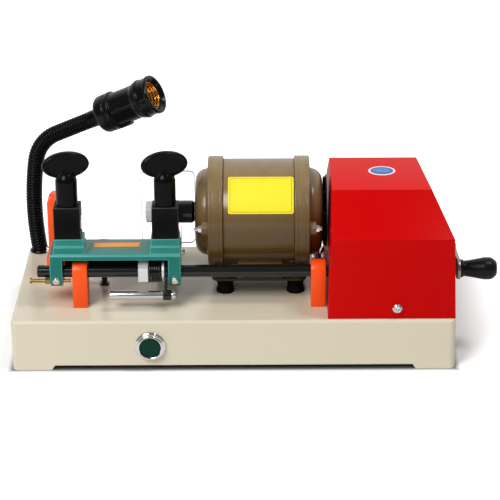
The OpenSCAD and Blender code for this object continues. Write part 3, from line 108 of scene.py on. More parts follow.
class MachineSizes(bpy.types.PropertyGroup):
    """Sizes of the pieces that are made here."""

    soft_edge: length("Soft edge", 0.0006, "Rounding of cast and machined edges")
    sheet: length("Cover sheet", 0.0015, "Thickness of the cover's sheet")
    bend: length("Cover bend", 0.0009, "Radius of the cover's folded edges")
    rib_pitch: length("Rib pitch", 0.0032, "Distance between two ribs of the gooseneck")
    rib_radius: length("Rib radius", 0.0011, "Radius of one rib of the gooseneck")
    knob_voxel: length("Knob voxel", 0.0006, "Voxel of the moulded knobs")
    thread_depth: length("Thread depth", 0.0011, "Depth of the lamp shell's rolled thread")
    thread_pitch: length("Thread pitch", 0.0036, "Pitch of the lamp shell's rolled thread")


class StageSettings(bpy.types.PropertyGroup):
    """Camera, floor and light."""

    lens: FloatProperty(name="Lens", description="Focal length on a 36 mm sensor", default=152.1, min=10.0)
    pitch: FloatProperty(name="Pitch", description="Downward angle of the camera", subtype="ANGLE",
                         default=math.radians(23.0))
    roll: FloatProperty(name="Roll", description="Turn about the camera's axis", subtype="ANGLE",
                        default=math.radians(-0.25))
    shift: FloatProperty(name="Shift", description="Sideways shift of the frame", default=-0.03)
    world: FloatProperty(name="World", description="Strength of the surrounding light", default=0.3, min=0.0)
    key: FloatProperty(name="Key light", description="Power of the large light at the left", unit="POWER",
                       default=50.0, min=0.0)
    fill: FloatProperty(name="Fill light", description="Power of the light over the machine", unit="POWER",
                        default=14.0, min=0.0)


# Shader node groups -----------------------------------------------------------


def new_group(name, inputs, outputs):
    """A shader group with its sockets made; returns the tree and its two ends."""
    tree = bpy.data.node_groups.new(name, "ShaderNodeTree")
    for label, kind, value in inputs:
        socket = tree.interface.new_socket(label, in_out="INPUT", socket_type="NodeSocket" + kind)
        if value is not None:
            socket.default_value = value
    for label, kind in outputs:
        tree.interface.new_socket(label, in_out="OUTPUT", socket_type="NodeSocket" + kind)
    return tree, tree.nodes.new("NodeGroupInput"), tree.nodes.new("NodeGroupOutput")


def add(tree, kind, **settings):
    """Adds a node; settings are its properties."""
    node = tree.nodes.new(kind)
    for key, value in settings.items():
        setattr(node, key, value)
    return node


def link(tree, source, target):
    tree.links.new(source, target)


def maths(tree, operation, a, b=None, c=None, clamp=False):
    """A Math node; a, b and c are sockets or numbers. Returns its output."""
    node = add(tree, "ShaderNodeMath", operation=operation, use_clamp=clamp)
    for socket, value in zip(node.inputs, (a, b, c)):
        if value is None:
            continue
        if isinstance(value, bpy.types.NodeSocket):
            link(tree, value, socket)
        else:
            socket.default_value = value
    return node.outputs[0]


def fade(tree, value, low, high, start=0.0, end=1.0):
    """A smooth Map Range node from start at low to end at high. Returns its output."""
    node = add(tree, "ShaderNodeMapRange", interpolation_type="SMOOTHSTEP")
    link(tree, value, node.inputs["Value"])
    for socket, number in (("From Min", low), ("From Max", high), ("To Min", start), ("To Max", end)):
        node.inputs[socket].default_value = number
    return node.outputs["Result"]


def axes_of(tree, vector):
    """A node that splits a vector into its X, Y and Z."""
    axes = add(tree, "ShaderNodeSeparateXYZ")
    link(tree, vector, axes.inputs[0])
    return axes


def object_noise(tree, detail):
    """A noise laid on the object's own coordinates."""
    spot = add(tree, "ShaderNodeTexCoord")
    noise = add(tree, "ShaderNodeTexNoise", noise_dimensions="3D")
    noise.inputs["Detail"].default_value = detail
    link(tree, spot.outputs["Object"], noise.inputs["Vector"])
    return noise


def soft_edges_group():
    """Normals rounded over edges, and a mask of those edges."""
    tree, start, end = new_group(
        "Soft Edges", [("Radius", "Float", 0.0006)], [("Normal", "Vector"), ("Edge", "Float")])
    bevel = add(tree, "ShaderNodeBevel", samples=6)
    link(tree, start.outputs["Radius"], bevel.inputs["Radius"])
    surface = add(tree, "ShaderNodeNewGeometry")
    dot = add(tree, "ShaderNodeVectorMath", operation="DOT_PRODUCT")
    link(tree, bevel.outputs["Normal"], dot.inputs[0])
    link(tree, surface.outputs["True Normal"], dot.inputs[1])
    gap = maths(tree, "SUBTRACT", 1.0, dot.outputs["Value"])
    edge = maths(tree, "MULTIPLY", gap, 5.0, clamp=True)
    link(tree, bevel.outputs["Normal"], end.inputs["Normal"])
    link(tree, edge, end.inputs["Edge"])
    return tree


def tone_group():
    """Slow drift of a colour's lightness, with the mask that drives it."""
    tree, start, end = new_group(
        "Tone Drift",
        [("Color", "Color", (0.5, 0.5, 0.5, 1.0)), ("Amount", "Float", 0.1), ("Scale", "Float", 20.0)],
        [("Color", "Color"), ("Mask", "Float")])
    noise = object_noise(tree, 5.0)
    link(tree, start.outputs["Scale"], noise.inputs["Scale"])
    swing = maths(tree, "SUBTRACT", noise.outputs["Fac"], 0.5)
    lift = maths(tree, "MULTIPLY_ADD", swing, start.outputs["Amount"], 1.0)
    tint = add(tree, "ShaderNodeHueSaturation")
    link(tree, lift, tint.inputs["Value"])
    link(tree, start.outputs["Color"], tint.inputs["Color"])
    link(tree, tint.outputs["Color"], end.inputs["Color"])
    link(tree, noise.outputs["Fac"], end.inputs["Mask"])
    return tree


def grain_group():
    """Bump of a fine grain that can be stretched along an axis."""
    tree, start, end = new_group(
        "Surface Grain",
        [("Normal", "Vector", None), ("Scale", "Float", 800.0), ("Stretch", "Vector", (1.0, 1.0, 1.0)),
         ("Height", "Float", 0.2)],
        [("Normal", "Vector"), ("Grain", "Float")])
    place = add(tree, "ShaderNodeTexCoord")
    stretch = add(tree, "ShaderNodeVectorMath", operation="MULTIPLY")
    link(tree, place.outputs["Object"], stretch.inputs[0])
    link(tree, start.outputs["Stretch"], stretch.inputs[1])
    noise = add(tree, "ShaderNodeTexNoise", noise_dimensions="3D")
    noise.inputs["Detail"].default_value = 3.0
    link(tree, stretch.outputs[0], noise.inputs["Vector"])
    link(tree, start.outputs["Scale"], noise.inputs["Scale"])
    bump = add(tree, "ShaderNodeBump")
    bump.inputs["Distance"].default_value = 0.0002
    link(tree, start.outputs["Height"], bump.inputs["Strength"])
    link(tree, noise.outputs["Fac"], bump.inputs["Height"])
    link(tree, start.outputs["Normal"], bump.inputs["Normal"])
    link(tree, bump.outputs["Normal"], end.inputs["Normal"])
    link(tree, noise.outputs["Fac"], end.inputs["Grain"])
    return tree


def grime_and_top_light_group():
    """A film on faces that look up: a dusty film where a finish asks for little, painted light where a finish uses
    much of it to lighten a lit top.
    """
    tree, start, end = new_group(
        "Settled Dust",
        [("Color", "Color", (0.5, 0.5, 0.5, 1.0)), ("Roughness", "Float", 0.4), ("Amount", "Float", 0.1),
         ("Dust", "Color", (0.55, 0.52, 0.47, 1.0))],
        [("Color", "Color"), ("Roughness", "Float")])
    surface = add(tree, "ShaderNodeNewGeometry")
    up = maths(tree, "MULTIPLY", axes_of(tree, surface.outputs["Normal"]).outputs["Z"], 1.0, clamp=True)
    noise = object_noise(tree, 8.0)
    noise.inputs["Scale"].default_value = 60.0
    patch = maths(tree, "MULTIPLY", up, maths(tree, "MULTIPLY_ADD", noise.outputs["Fac"], 0.4, 0.4))
    amount = maths(tree, "MULTIPLY", patch, start.outputs["Amount"], clamp=True)
    mix = add(tree, "ShaderNodeMix", data_type="RGBA")
    link(tree, amount, mix.inputs["Factor"])
    link(tree, start.outputs["Color"], mix.inputs[6])
    link(tree, start.outputs["Dust"], mix.inputs[7])
    link(tree, mix.outputs[2], end.inputs["Color"])
    rough = maths(tree, "MULTIPLY_ADD", amount, 0.15, start.outputs["Roughness"], clamp=True)
    link(tree, rough, end.inputs["Roughness"])
    return tree


GROUPS = {}
FINISHES = {}


def use_group(tree, name, **values):
    """Places a shared group in a material with its own values."""
    makers = {"Soft Edges": soft_edges_group, "Tone Drift": tone_group, "Surface Grain": grain_group,
              "Settled Dust": grime_and_top_light_group}
    if name not in GROUPS:
        GROUPS[name] = makers[name]()
    node = add(tree, "ShaderNodeGroup")
    node.node_tree = GROUPS[name]
    for key, value in values.items():
        node.inputs[key].default_value = value
    return node


def finish(name, base, roughness, metal=0.0, coat=0.0, coat_roughness=0.08, specular=0.5, tone=(0.12, 25.0),
           grain=(900.0, 0.1), stretch=(1.0, 1.0, 1.0), edge=0.0006, painted_edge_highlight=0.0, grime_and_top_light=0.05,
           film_tint=(0.55, 0.52, 0.47), spread=0.06, transmission=0.0, ior=1.5, alpha=1.0):
    """A procedural material from the shared groups and one Principled shader.

    tone is the drift's amount and scale, grain the grain's scale and height.
    """
    material = bpy.data.materials.new(name)
    material.use_nodes = True
    tree = material.node_tree
    shader = tree.nodes["Principled BSDF"]
    drift = use_group(tree, "Tone Drift", Color=(*base, 1.0), Amount=tone[0], Scale=tone[1])
    # The film is a dusty layer for most finishes and painted light on the tops of the motor and the carriage.
    film = use_group(tree, "Settled Dust", Amount=grime_and_top_light, Dust=(*film_tint, 1.0))
    rough = maths(tree, "MULTIPLY_ADD", drift.outputs["Mask"], spread, roughness - spread / 2, clamp=True)
    edges = use_group(tree, "Soft Edges", Radius=edge)
    fine = use_group(tree, "Surface Grain", Scale=grain[0], Height=grain[1], Stretch=stretch)
    colour_out = drift.outputs["Color"]
    # Painted highlight: edges are mixed towards a lighter copy of the base colour, for light caught on rounded
    # edges.
    if painted_edge_highlight:
        lift = add(tree, "ShaderNodeMix", data_type="RGBA")
        link(tree, maths(tree, "MULTIPLY", edges.outputs["Edge"], painted_edge_highlight), lift.inputs["Factor"])
        link(tree, colour_out, lift.inputs[6])
        lift.inputs[7].default_value = (*[min(1.0, c * 1.6 + 0.12) for c in base], 1.0)
        colour_out = lift.outputs[2]
    link(tree, colour_out, film.inputs["Color"])
    link(tree, rough, film.inputs["Roughness"])
    link(tree, film.outputs["Color"], shader.inputs["Base Color"])
    link(tree, film.outputs["Roughness"], shader.inputs["Roughness"])
    link(tree, edges.outputs["Normal"], fine.inputs["Normal"])
    link(tree, fine.outputs["Normal"], shader.inputs["Normal"])
    for socket, value in (("Metallic", metal), ("Coat Weight", coat), ("Coat Roughness", coat_roughness),
                          ("Specular IOR Level", specular), ("IOR", ior), ("Transmission Weight", transmission),
                          ("Alpha", alpha)):
        shader.inputs[socket].default_value = value
    FINISHES[name] = material
    return material


def make_finishes():
    """All the machine's materials."""
    paint = bpy.context.scene.machine_colours
    finish("beige_enamel", paint.base, 0.2, specular=0.42, tone=(0.05, 9.0), grain=(1400.0, 0.03),
           edge=0.0009, painted_edge_highlight=0.25, grime_and_top_light=0.02)
    finish("orange_enamel", paint.orange, 0.3, specular=0.3, tone=(0.08, 30.0), grain=(1100.0, 0.06),
           edge=0.0009, painted_edge_highlight=0.1, grime_and_top_light=0.01)
    # Painted light: the carriage's up-facing faces are lightened towards a pale teal, for the light on its tops.
    finish("teal_enamel", paint.teal, 0.3, specular=0.25, tone=(0.2, 120.0), grain=(420.0, 0.14),
           edge=0.0009, painted_edge_highlight=0.8, grime_and_top_light=0.3, film_tint=(0.22, 0.4, 0.38))
    # Painted highlights: lighter teal and black for the rounded edges of the carriage and the vises.
    finish("teal_edge_highlight", (0.06, 0.33, 0.28), 0.3, specular=0.25, tone=(0.3, 150.0), grain=(420.0, 0.1), grime_and_top_light=0.0)
    finish("vise_edge_highlight", (0.035, 0.035, 0.036), 0.35, specular=0.2, tone=(0.4, 150.0), grain=(900.0, 0.1),
           grime_and_top_light=0.0)
    # Painted light: the motor's up-facing faces are lightened strongly towards its top-light colour, for the light
    # falling on its top.
    finish("taupe_enamel", paint.motor, 0.2, specular=0.45, tone=(0.06, 22.0), grain=(900.0, 0.04),
           edge=0.0005, painted_edge_highlight=0.1, grime_and_top_light=0.8, film_tint=paint.motor_painted_top_light)
    finish("red_enamel", paint.cover, 0.3, specular=0.035, tone=(0.04, 12.0), grain=(1200.0, 0.02),
           edge=0.0006, painted_edge_highlight=0.25, grime_and_top_light=0.0)
    # Painted reflection: the lighter red of the cover's flat top.
    finish("red_enamel_painted_sheen", paint.cover_painted_sheen, 0.3, specular=0.035, tone=(0.04, 12.0), grain=(1200.0, 0.02),
           edge=0.0007, painted_edge_highlight=0.2, grime_and_top_light=0.0)
    finish("brown_enamel", (0.035, 0.026, 0.014), 0.3, specular=0.3, tone=(0.1, 30.0), painted_edge_highlight=0.1, grime_and_top_light=0.01)
    finish("black_oxide", (0.004, 0.004, 0.004), 0.16, specular=0.5, tone=(0.3, 60.0), grain=(1500.0, 0.08),
           painted_edge_highlight=0.05, grime_and_top_light=0.0)
    finish("vise_black", (0.0025, 0.0025, 0.0026), 0.4, specular=0.06, tone=(0.3, 80.0), grain=(900.0, 0.15),
           edge=0.0008, painted_edge_highlight=0.35, grime_and_top_light=0.01)
    finish("phenolic", (0.002, 0.002, 0.0021), 0.22, specular=0.11, tone=(0.2, 50.0), grain=(1200.0, 0.05),
           edge=0.0007, painted_edge_highlight=0.3, grime_and_top_light=0.0)
    finish("bakelite", (0.002, 0.002, 0.0021), 0.17, specular=0.24, tone=(0.2, 50.0), grain=(1200.0, 0.04),
           edge=0.0006, painted_edge_highlight=0.2, grime_and_top_light=0.0)
    finish("grip_black", (0.004, 0.004, 0.004), 0.32, specular=0.2, tone=(0.2, 50.0), grain=(1200.0, 0.06),
           edge=0.0004, painted_edge_highlight=0.02, grime_and_top_light=0.0)
    finish("satin_nickel", (0.7, 0.7, 0.69), 0.38, metal=0.4, specular=0.5, tone=(0.1, 60.0),
           grain=(1200.0, 0.06), edge=0.0006, painted_edge_highlight=0.5, grime_and_top_light=0.0)
    finish("dull_steel", (0.3, 0.28, 0.25), 0.34, metal=1.0, tone=(0.2, 60.0), grain=(1200.0, 0.1), grime_and_top_light=0.0)
    finish("hose_black", (0.0018, 0.0018, 0.0018), 0.25, specular=0.13, tone=(0.2, 60.0), grain=(1200.0, 0.05),
           edge=0.0002, grime_and_top_light=0.0)
    finish("rubber", (0.003, 0.003, 0.003), 0.6, specular=0.06, tone=(0.3, 80.0), grain=(1500.0, 0.2), grime_and_top_light=0.03)
    finish("black_plastic", (0.003, 0.003, 0.003), 0.45, specular=0.1, grain=(1300.0, 0.15), grime_and_top_light=0.02)
    finish("green_lens", paint.button, 0.18, specular=0.12, tone=(0.25, 60.0), grain=(500.0, 0.03), grime_and_top_light=0.0)
    finish("white_plastic", (0.7, 0.7, 0.66), 0.4)
    finish("ceramic", (0.72, 0.69, 0.62), 0.5)
    finish("chrome", (0.74, 0.73, 0.72), 0.09, metal=1.0, tone=(0.06, 60.0), grain=(700.0, 0.02), spread=0.04,
           edge=0.0004, grime_and_top_light=0.0)
    finish("ground_steel", (0.66, 0.66, 0.65), 0.22, metal=1.0, tone=(0.15, 70.0), grain=(900.0, 0.1),
           stretch=(0.06, 1.0, 1.0),
           spread=0.12, edge=0.0003, grime_and_top_light=0.0)
    finish("zinc", (0.78, 0.77, 0.74), 0.2, metal=1.0, tone=(0.15, 90.0), grain=(1200.0, 0.08), spread=0.14,
           edge=0.0003, grime_and_top_light=0.0)
    finish("cutter_steel", (0.5, 0.5, 0.5), 0.26, metal=1.0, tone=(0.2, 70.0), grain=(900.0, 0.1),
           spread=0.12, edge=0.0002, grime_and_top_light=0.0)
    finish("cast_iron", (0.16, 0.165, 0.17), 0.5, metal=0.6, tone=(0.3, 60.0), grain=(700.0, 0.3))
    finish("bronze", (0.45, 0.27, 0.11), 0.35, metal=1.0, tone=(0.2, 80.0))
    finish("brass", (0.85, 0.42, 0.08), 0.14, metal=1.0, tone=(0.15, 90.0), grain=(800.0, 0.04),
           spread=0.08, edge=0.0001, grime_and_top_light=0.0)
    finish("acrylic_edge", (0.4, 0.41, 0.41), 0.6, specular=0.1, tone=(0.1, 60.0), edge=0.0001, grime_and_top_light=0.0)
    finish("old_brass", (0.34, 0.22, 0.07), 0.3, metal=1.0, tone=(0.25, 90.0), grain=(900.0, 0.1), grime_and_top_light=0.0)
    finish("acrylic", (0.9, 0.91, 0.91), 0.03, specular=0.5, transmission=1.0, ior=1.32, tone=(0.0, 10.0),
           grain=(300.0, 0.0), spread=0.01, edge=0.0002, grime_and_top_light=0.0)
    for name, value in (("label_yellow", paint.label), ("label_grey", paint.label_rule),
                        ("label_orange", paint.strip_edge), ("label_strip", paint.strip),
                        ("label_blue", paint.badge), ("label_pale_blue", paint.badge_centre),
                        ("label_white", paint.badge_rim)):
        finish(name, value, 0.4, specular=0.3, tone=(0.06, 90.0), grain=(1500.0, 0.03), edge=0.0001, grime_and_top_light=0.01)


# Mesh helpers -------------------------------------------------------------------


def at(x, y, z):
    """A point given in millimetres from the base's middle at floor level."""
    return BASE_MIDDLE + Vector((x, y, z)) * MM


def place(x, y, z):
    """A frame in millimetres with its origin at a point of the machine."""
    return Matrix.Translation(at(x, y, z)) @ Matrix.Scale(MM, 4)


def along_x(x, y, z, side=1):
    """A frame at a point whose Z axis runs along X, to the right or, with side -1, to the left."""
    return place(x, y, z) @ Matrix.Rotation(math.radians(90.0 * side), 4, "Y")


def along_front(x, y, z):
    """A frame at a point whose Z axis runs to the front."""
    return place(x, y, z) @ Matrix.Rotation(math.radians(90.0), 4, "X")


def piece_from(name, bm, material, sharp=32.0, merge=2e-6):
    """A smooth-shaded object at the origin from a bmesh, with its creases kept."""
    bmesh.ops.remove_doubles(bm, verts=bm.verts, dist=merge)
    bmesh.ops.recalc_face_normals(bm, faces=bm.faces)
    mesh = bpy.data.meshes.new(name)
    bm.to_mesh(mesh)
    bm.free()
    mesh.materials.append(FINISHES[material])
    mesh.shade_smooth()
    mesh.set_sharp_from_angle(angle=math.radians(sharp))
    obj = bpy.data.objects.new(name, mesh)
    bpy.context.scene.collection.objects.link(obj)
    return obj


def settle(obj, sharp=32.0):
    """Replaces an object's mesh by its evaluated one, with its modifiers removed."""
    bpy.context.view_layer.update()
    evaluated = obj.evaluated_get(bpy.context.evaluated_depsgraph_get())
    mesh = bpy.data.meshes.new_from_object(evaluated)
    obj.modifiers.clear()
    obj.data = mesh
    mesh.shade_smooth()
    mesh.set_sharp_from_angle(angle=math.radians(sharp))
    return obj


def stands_for(obj, body, *nodes):
    """Puts a piece on its body, in place of solids when any are named."""
    if not obj.data.polygons:
        raise RuntimeError(f"{obj.name} has no faces")
    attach(obj, body)
    if nodes:
        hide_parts(*nodes)
    return obj


def rounded(points, closed=False, steps=4):
    """A 2D outline whose corners are rounded; a point is (a, b) or (a, b, radius)."""
    outline = []
    count = len(points)
    for index, point in enumerate(points):
        here = Vector(point[:2])
        radius = point[2] if len(point) > 2 else 0.0
        if not radius or (not closed and index in (0, count - 1)):
            outline.append(here)
            continue
        before = (Vector(points[index - 1][:2]) - here).normalized()
        after = (Vector(points[(index + 1) % count][:2]) - here).normalized()
        half = before.angle(after) / 2
        reach = radius / math.tan(half)
        centre = here + (before + after).normalized() * (radius / math.sin(half))
        start = here + before * reach - centre
        end = here + after * reach - centre
        sweep = start.angle(end)
        for step in range(steps + 1):
            share = step / steps
            outline.append(centre + (math.sin((1 - share) * sweep) * start + math.sin(share * sweep) * end)
                           / math.sin(sweep))
    return outline


def ring_at(bm, frame_matrix, radius, height, steps):
    """New vertices in a ring about the frame's Z axis."""
    turns = [2 * math.pi * k / steps for k in range(steps)]
    return [bm.verts.new(frame_matrix @ Vector((radius * math.cos(turn), radius * math.sin(turn), height)))
            for turn in turns]


def closed_skin(bm, rings):
    """Faces between rings of equal length, with the last ring joined to the first."""
    for one, other in zip(rings, rings[1:] + rings[:1]):
        for k in range(len(one)):
            after = (k + 1) % len(one)
            bm.faces.new([one[k], one[after], other[after], other[k]])


def lathe(bm, profile, frame_matrix, steps=96, loop=False):
    """Turns a profile of (radius, height) about the frame's Z axis; a loop profile closes on itself."""
    rings = []
    for radius, height in profile:
        if radius < 1e-6:
            rings.append([bm.verts.new(frame_matrix @ Vector((0.0, 0.0, height)))])
            continue
        rings.append(ring_at(bm, frame_matrix, radius, height, steps))
    pairs = list(zip(rings, rings[1:]))
    if loop:
        pairs.append((rings[-1], rings[0]))
    for low, high in pairs:
        for k in range(steps):
            after = (k + 1) % steps
            corners = [low[k % len(low)], low[after % len(low)], high[after % len(high)], high[k % len(high)]]
            face = list(dict.fromkeys(corners))
            if len(face) > 2:
                bm.faces.new(face)


def prism(bm, outline, frame_matrix, low, high):
    """A plate between two heights of the frame with a 2D outline."""
    bottom = [bm.verts.new(frame_matrix @ Vector((a, b, low))) for a, b in outline]
    top = [bm.verts.new(frame_matrix @ Vector((a, b, high))) for a, b in outline]
    bm.faces.new(bottom)
    bm.faces.new(top)
    for k in range(len(outline)):
        after = (k + 1) % len(outline)
        bm.faces.new([bottom[k], bottom[after], top[after], top[k]])


def rectangle(a0, b0, a1, b1, radius=0.0):
    """A rectangle's outline with round corners."""
    return rounded([(a0, b0, radius), (a1, b0, radius), (a1, b1, radius), (a0, b1, radius)], closed=True)


def oval(a, b, half_a, half_b, steps=64):
    """An oval's outline about a, b."""
    return [(a + half_a * math.cos(2 * math.pi * k / steps), b + half_b * math.sin(2 * math.pi * k / steps))
            for k in range(steps)]


def wrap_patch(bm, outline, low, high, centre_y, centre_z, radius, strips=24):
    """A thin patch on a cylinder along X; the outline is (x, angle in degrees from the top to the front)."""
    patch = bmesh.new()
    prism(patch, outline, Matrix.Identity(4), low, high)
    angles = [angle for _, angle in outline]
    for k in range(1, strips):
        cut = min(angles) + (max(angles) - min(angles)) * k / strips
        bmesh.ops.bisect_plane(patch, geom=patch.verts[:] + patch.edges[:] + patch.faces[:], dist=1e-7,
                               plane_co=(0, cut, 0), plane_no=(0, 1, 0))
    copies = {}
    for vert in patch.verts:
        turn = math.radians(vert.co.y)
        reach = radius + vert.co.z
        copies[vert] = bm.verts.new(
            at(vert.co.x, centre_y - reach * math.sin(turn), centre_z + reach * math.cos(turn)))
    for face in patch.faces:
        bm.faces.new([copies[vert] for vert in face.verts])
    patch.free()


def between_planes(planes, reach):
    """A closed solid inside planes; each plane is a point and an outward normal, in millimetres."""
    bm = bmesh.new()
    bmesh.ops.create_cube(bm, size=2 * reach)
    for point, normal in planes:
        cut = bmesh.ops.bisect_plane(bm, geom=bm.verts[:] + bm.edges[:] + bm.faces[:], dist=1e-5,
                                     plane_co=point, plane_no=normal, clear_outer=True)
        rim = [item for item in cut["geom_cut"] if isinstance(item, bmesh.types.BMEdge)]
        bmesh.ops.contextual_create(bm, geom=rim)
    bmesh.ops.remove_doubles(bm, verts=bm.verts, dist=0.05)
    return bm


def softened(node, name, material, width, segments=2, angle=30.0, edge_highlight_finish=None):
    """A copy of a solid with its edges rounded; where a highlight finish is named, the rounded edges take it as a
    painted highlight.
    """
    bm = bmesh.new()
    bm.from_mesh(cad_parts[node].data)
    bmesh.ops.remove_doubles(bm, verts=bm.verts, dist=2e-6)
    bmesh.ops.dissolve_limit(bm, angle_limit=math.radians(0.4), verts=bm.verts, edges=bm.edges)
    bmesh.ops.connect_verts_concave(bm, faces=bm.faces)
    obj = piece_from(name, bm, material)
    bevel = obj.modifiers.new("Edges", "BEVEL")
    bevel.width = width
    bevel.segments = segments
    bevel.limit_method = "ANGLE"
    bevel.angle_limit = math.radians(angle)
    bevel.use_clamp_overlap = False
    # Painted highlight: the bevel's faces take the lighter finish.
    if edge_highlight_finish:
        obj.data.materials.append(FINISHES[edge_highlight_finish])
        bevel.material = 1
    return settle(obj)


def carve(obj, cutters):
    """Cuts closed bmeshes out of an object."""
    tool_mesh = bpy.data.meshes.new("cutter shape")
    cutters.to_mesh(tool_mesh)
    cutters.free()
    tool = bpy.data.objects.new("cutter shape", tool_mesh)
    bpy.context.scene.collection.objects.link(tool)
    cut = obj.modifiers.new("Holes", "BOOLEAN")
    cut.operation = "DIFFERENCE"
    cut.solver = "EXACT"
    cut.object = tool
    settle(obj)
    bpy.data.objects.remove(tool)
    bpy.data.meshes.remove(tool_mesh)
    return obj


# Geometry node helpers -------------------------------------------------------------


def new_build(name, inputs):
    """A geometry group with a mesh in and out and named inputs; returns tree, start, end."""
    tree = bpy.data.node_groups.new(name, "GeometryNodeTree")
    tree.interface.new_socket("Geometry", in_out="INPUT", socket_type="NodeSocketGeometry")
    for label, kind, value in inputs:
        socket = tree.interface.new_socket(label, in_out="INPUT", socket_type="NodeSocket" + kind)
        if value is not None:
            socket.default_value = value
    tree.interface.new_socket("Geometry", in_out="OUTPUT", socket_type="NodeSocketGeometry")
    return tree, tree.nodes.new("NodeGroupInput"), tree.nodes.new("NodeGroupOutput")


def grow(name, bm, tree, material, **values):
    """Runs a geometry group on a bmesh and keeps the result as a plain mesh."""
    mesh = bpy.data.meshes.new(name)
    bm.to_mesh(mesh)
    bm.free()
    obj = bpy.data.objects.new(name, mesh)
    bpy.context.scene.collection.objects.link(obj)
    modifier = obj.modifiers.new("Build", "NODES")
    modifier.node_group = tree
    sockets = {item.name: item.identifier for item in tree.interface.items_tree if item.in_out == "INPUT"}
    modifier[sockets["Material"]] = FINISHES[material]
    for key, value in values.items():
        modifier[sockets[key.replace("_", " ")]] = value
    settle(obj, 60.0)
    obj.data.materials.clear()
    obj.data.materials.append(FINISHES[material])
    return obj


def circle(tree, radius, resolution):
    """A circle's curve whose radius comes from a socket."""
    node = add(tree, "GeometryNodeCurvePrimitiveCircle")
    node.inputs["Resolution"].default_value = resolution
    link(tree, radius, node.inputs["Radius"])
    return node.outputs["Curve"]


def sweep(tree, path, profile, caps):
    """A profile drawn along a path."""
    node = add(tree, "GeometryNodeCurveToMesh")
    node.inputs["Fill Caps"].default_value = caps
    link(tree, path, node.inputs["Curve"])
    link(tree, profile, node.inputs["Profile Curve"])
    return node.outputs["Mesh"]


def painted_end(tree, geometry, start, end):
    """Makes instances real, sets the material and leads the result out."""
    solid = add(tree, "GeometryNodeRealizeInstances")
    link(tree, geometry, solid.inputs["Geometry"])
    paint = add(tree, "GeometryNodeSetMaterial")
    link(tree, solid.outputs["Geometry"], paint.inputs["Geometry"])
    link(tree, start.outputs["Material"], paint.inputs["Material"])
    link(tree, paint.outputs["Geometry"], end.inputs["Geometry"])


def ribbed_hose_build():
    """A core along a path with a ring at every pitch."""
    tree, start, end = new_build("Ribbed Hose", [
        ("Pitch", "Float", 0.0032), ("Core Radius", "Float", 0.0074), ("Rib Radius", "Float", 0.0012),
        ("Outer Radius", "Float", 0.0088), ("Material", "Material", None)])
    path = add(tree, "GeometryNodeMeshToCurve")
    link(tree, start.outputs["Geometry"], path.inputs["Mesh"])
    core = sweep(tree, path.outputs["Curve"], circle(tree, start.outputs["Core Radius"], 40), True)
    spaced = add(tree, "GeometryNodeResampleCurve", mode="LENGTH")
    link(tree, path.outputs["Curve"], spaced.inputs["Curve"])
    link(tree, start.outputs["Pitch"], spaced.inputs["Length"])
    ring_radius = maths(tree, "SUBTRACT", start.outputs["Outer Radius"], start.outputs["Rib Radius"])
    ring = sweep(tree, circle(tree, ring_radius, 48), circle(tree, start.outputs["Rib Radius"], 10), False)
    tangent = add(tree, "GeometryNodeInputTangent")
    facing = add(tree, "FunctionNodeAlignRotationToVector", axis="Z")
    link(tree, tangent.outputs["Tangent"], facing.inputs["Vector"])
    row = add(tree, "GeometryNodeInstanceOnPoints")
    link(tree, spaced.outputs["Curve"], row.inputs["Points"])
    link(tree, ring, row.inputs["Instance"])
    link(tree, facing.outputs["Rotation"], row.inputs["Rotation"])
    both = add(tree, "GeometryNodeJoinGeometry")
    link(tree, core, both.inputs["Geometry"])
    link(tree, row.outputs["Instances"], both.inputs["Geometry"])
    painted_end(tree, both.outputs["Geometry"], start, end)
    return tree


def coil_build():
    """A coil spring along X about each point, with its ends closed."""
    tree, start, end = new_build("Coil Spring", [
        ("Turns", "Float", 5.0), ("Coil Radius", "Float", 0.0099), ("Wire Radius", "Float", 0.00105),
        ("Length", "Float", 0.0118), ("Material", "Material", None)])
    helix = add(tree, "GeometryNodeCurveSpiral")
    helix.inputs["Resolution"].default_value = 40
    link(tree, start.outputs["Turns"], helix.inputs["Rotations"])
    link(tree, start.outputs["Coil Radius"], helix.inputs["Start Radius"])
    link(tree, start.outputs["Coil Radius"], helix.inputs["End Radius"])
    link(tree, start.outputs["Length"], helix.inputs["Height"])
    coil = sweep(tree, helix.outputs["Curve"], circle(tree, start.outputs["Wire Radius"], 16), True)
    lay = add(tree, "GeometryNodeTransform")
    lay.inputs["Rotation"].default_value = (0.0, math.radians(90.0), 0.0)
    link(tree, coil, lay.inputs["Geometry"])
    spots = add(tree, "GeometryNodeInstanceOnPoints")
    link(tree, start.outputs["Geometry"], spots.inputs["Points"])
    link(tree, lay.outputs["Geometry"], spots.inputs["Instance"])
    painted_end(tree, spots.outputs["Instances"], start, end)
    return tree


# Operators ------------------------------------------------------------------------

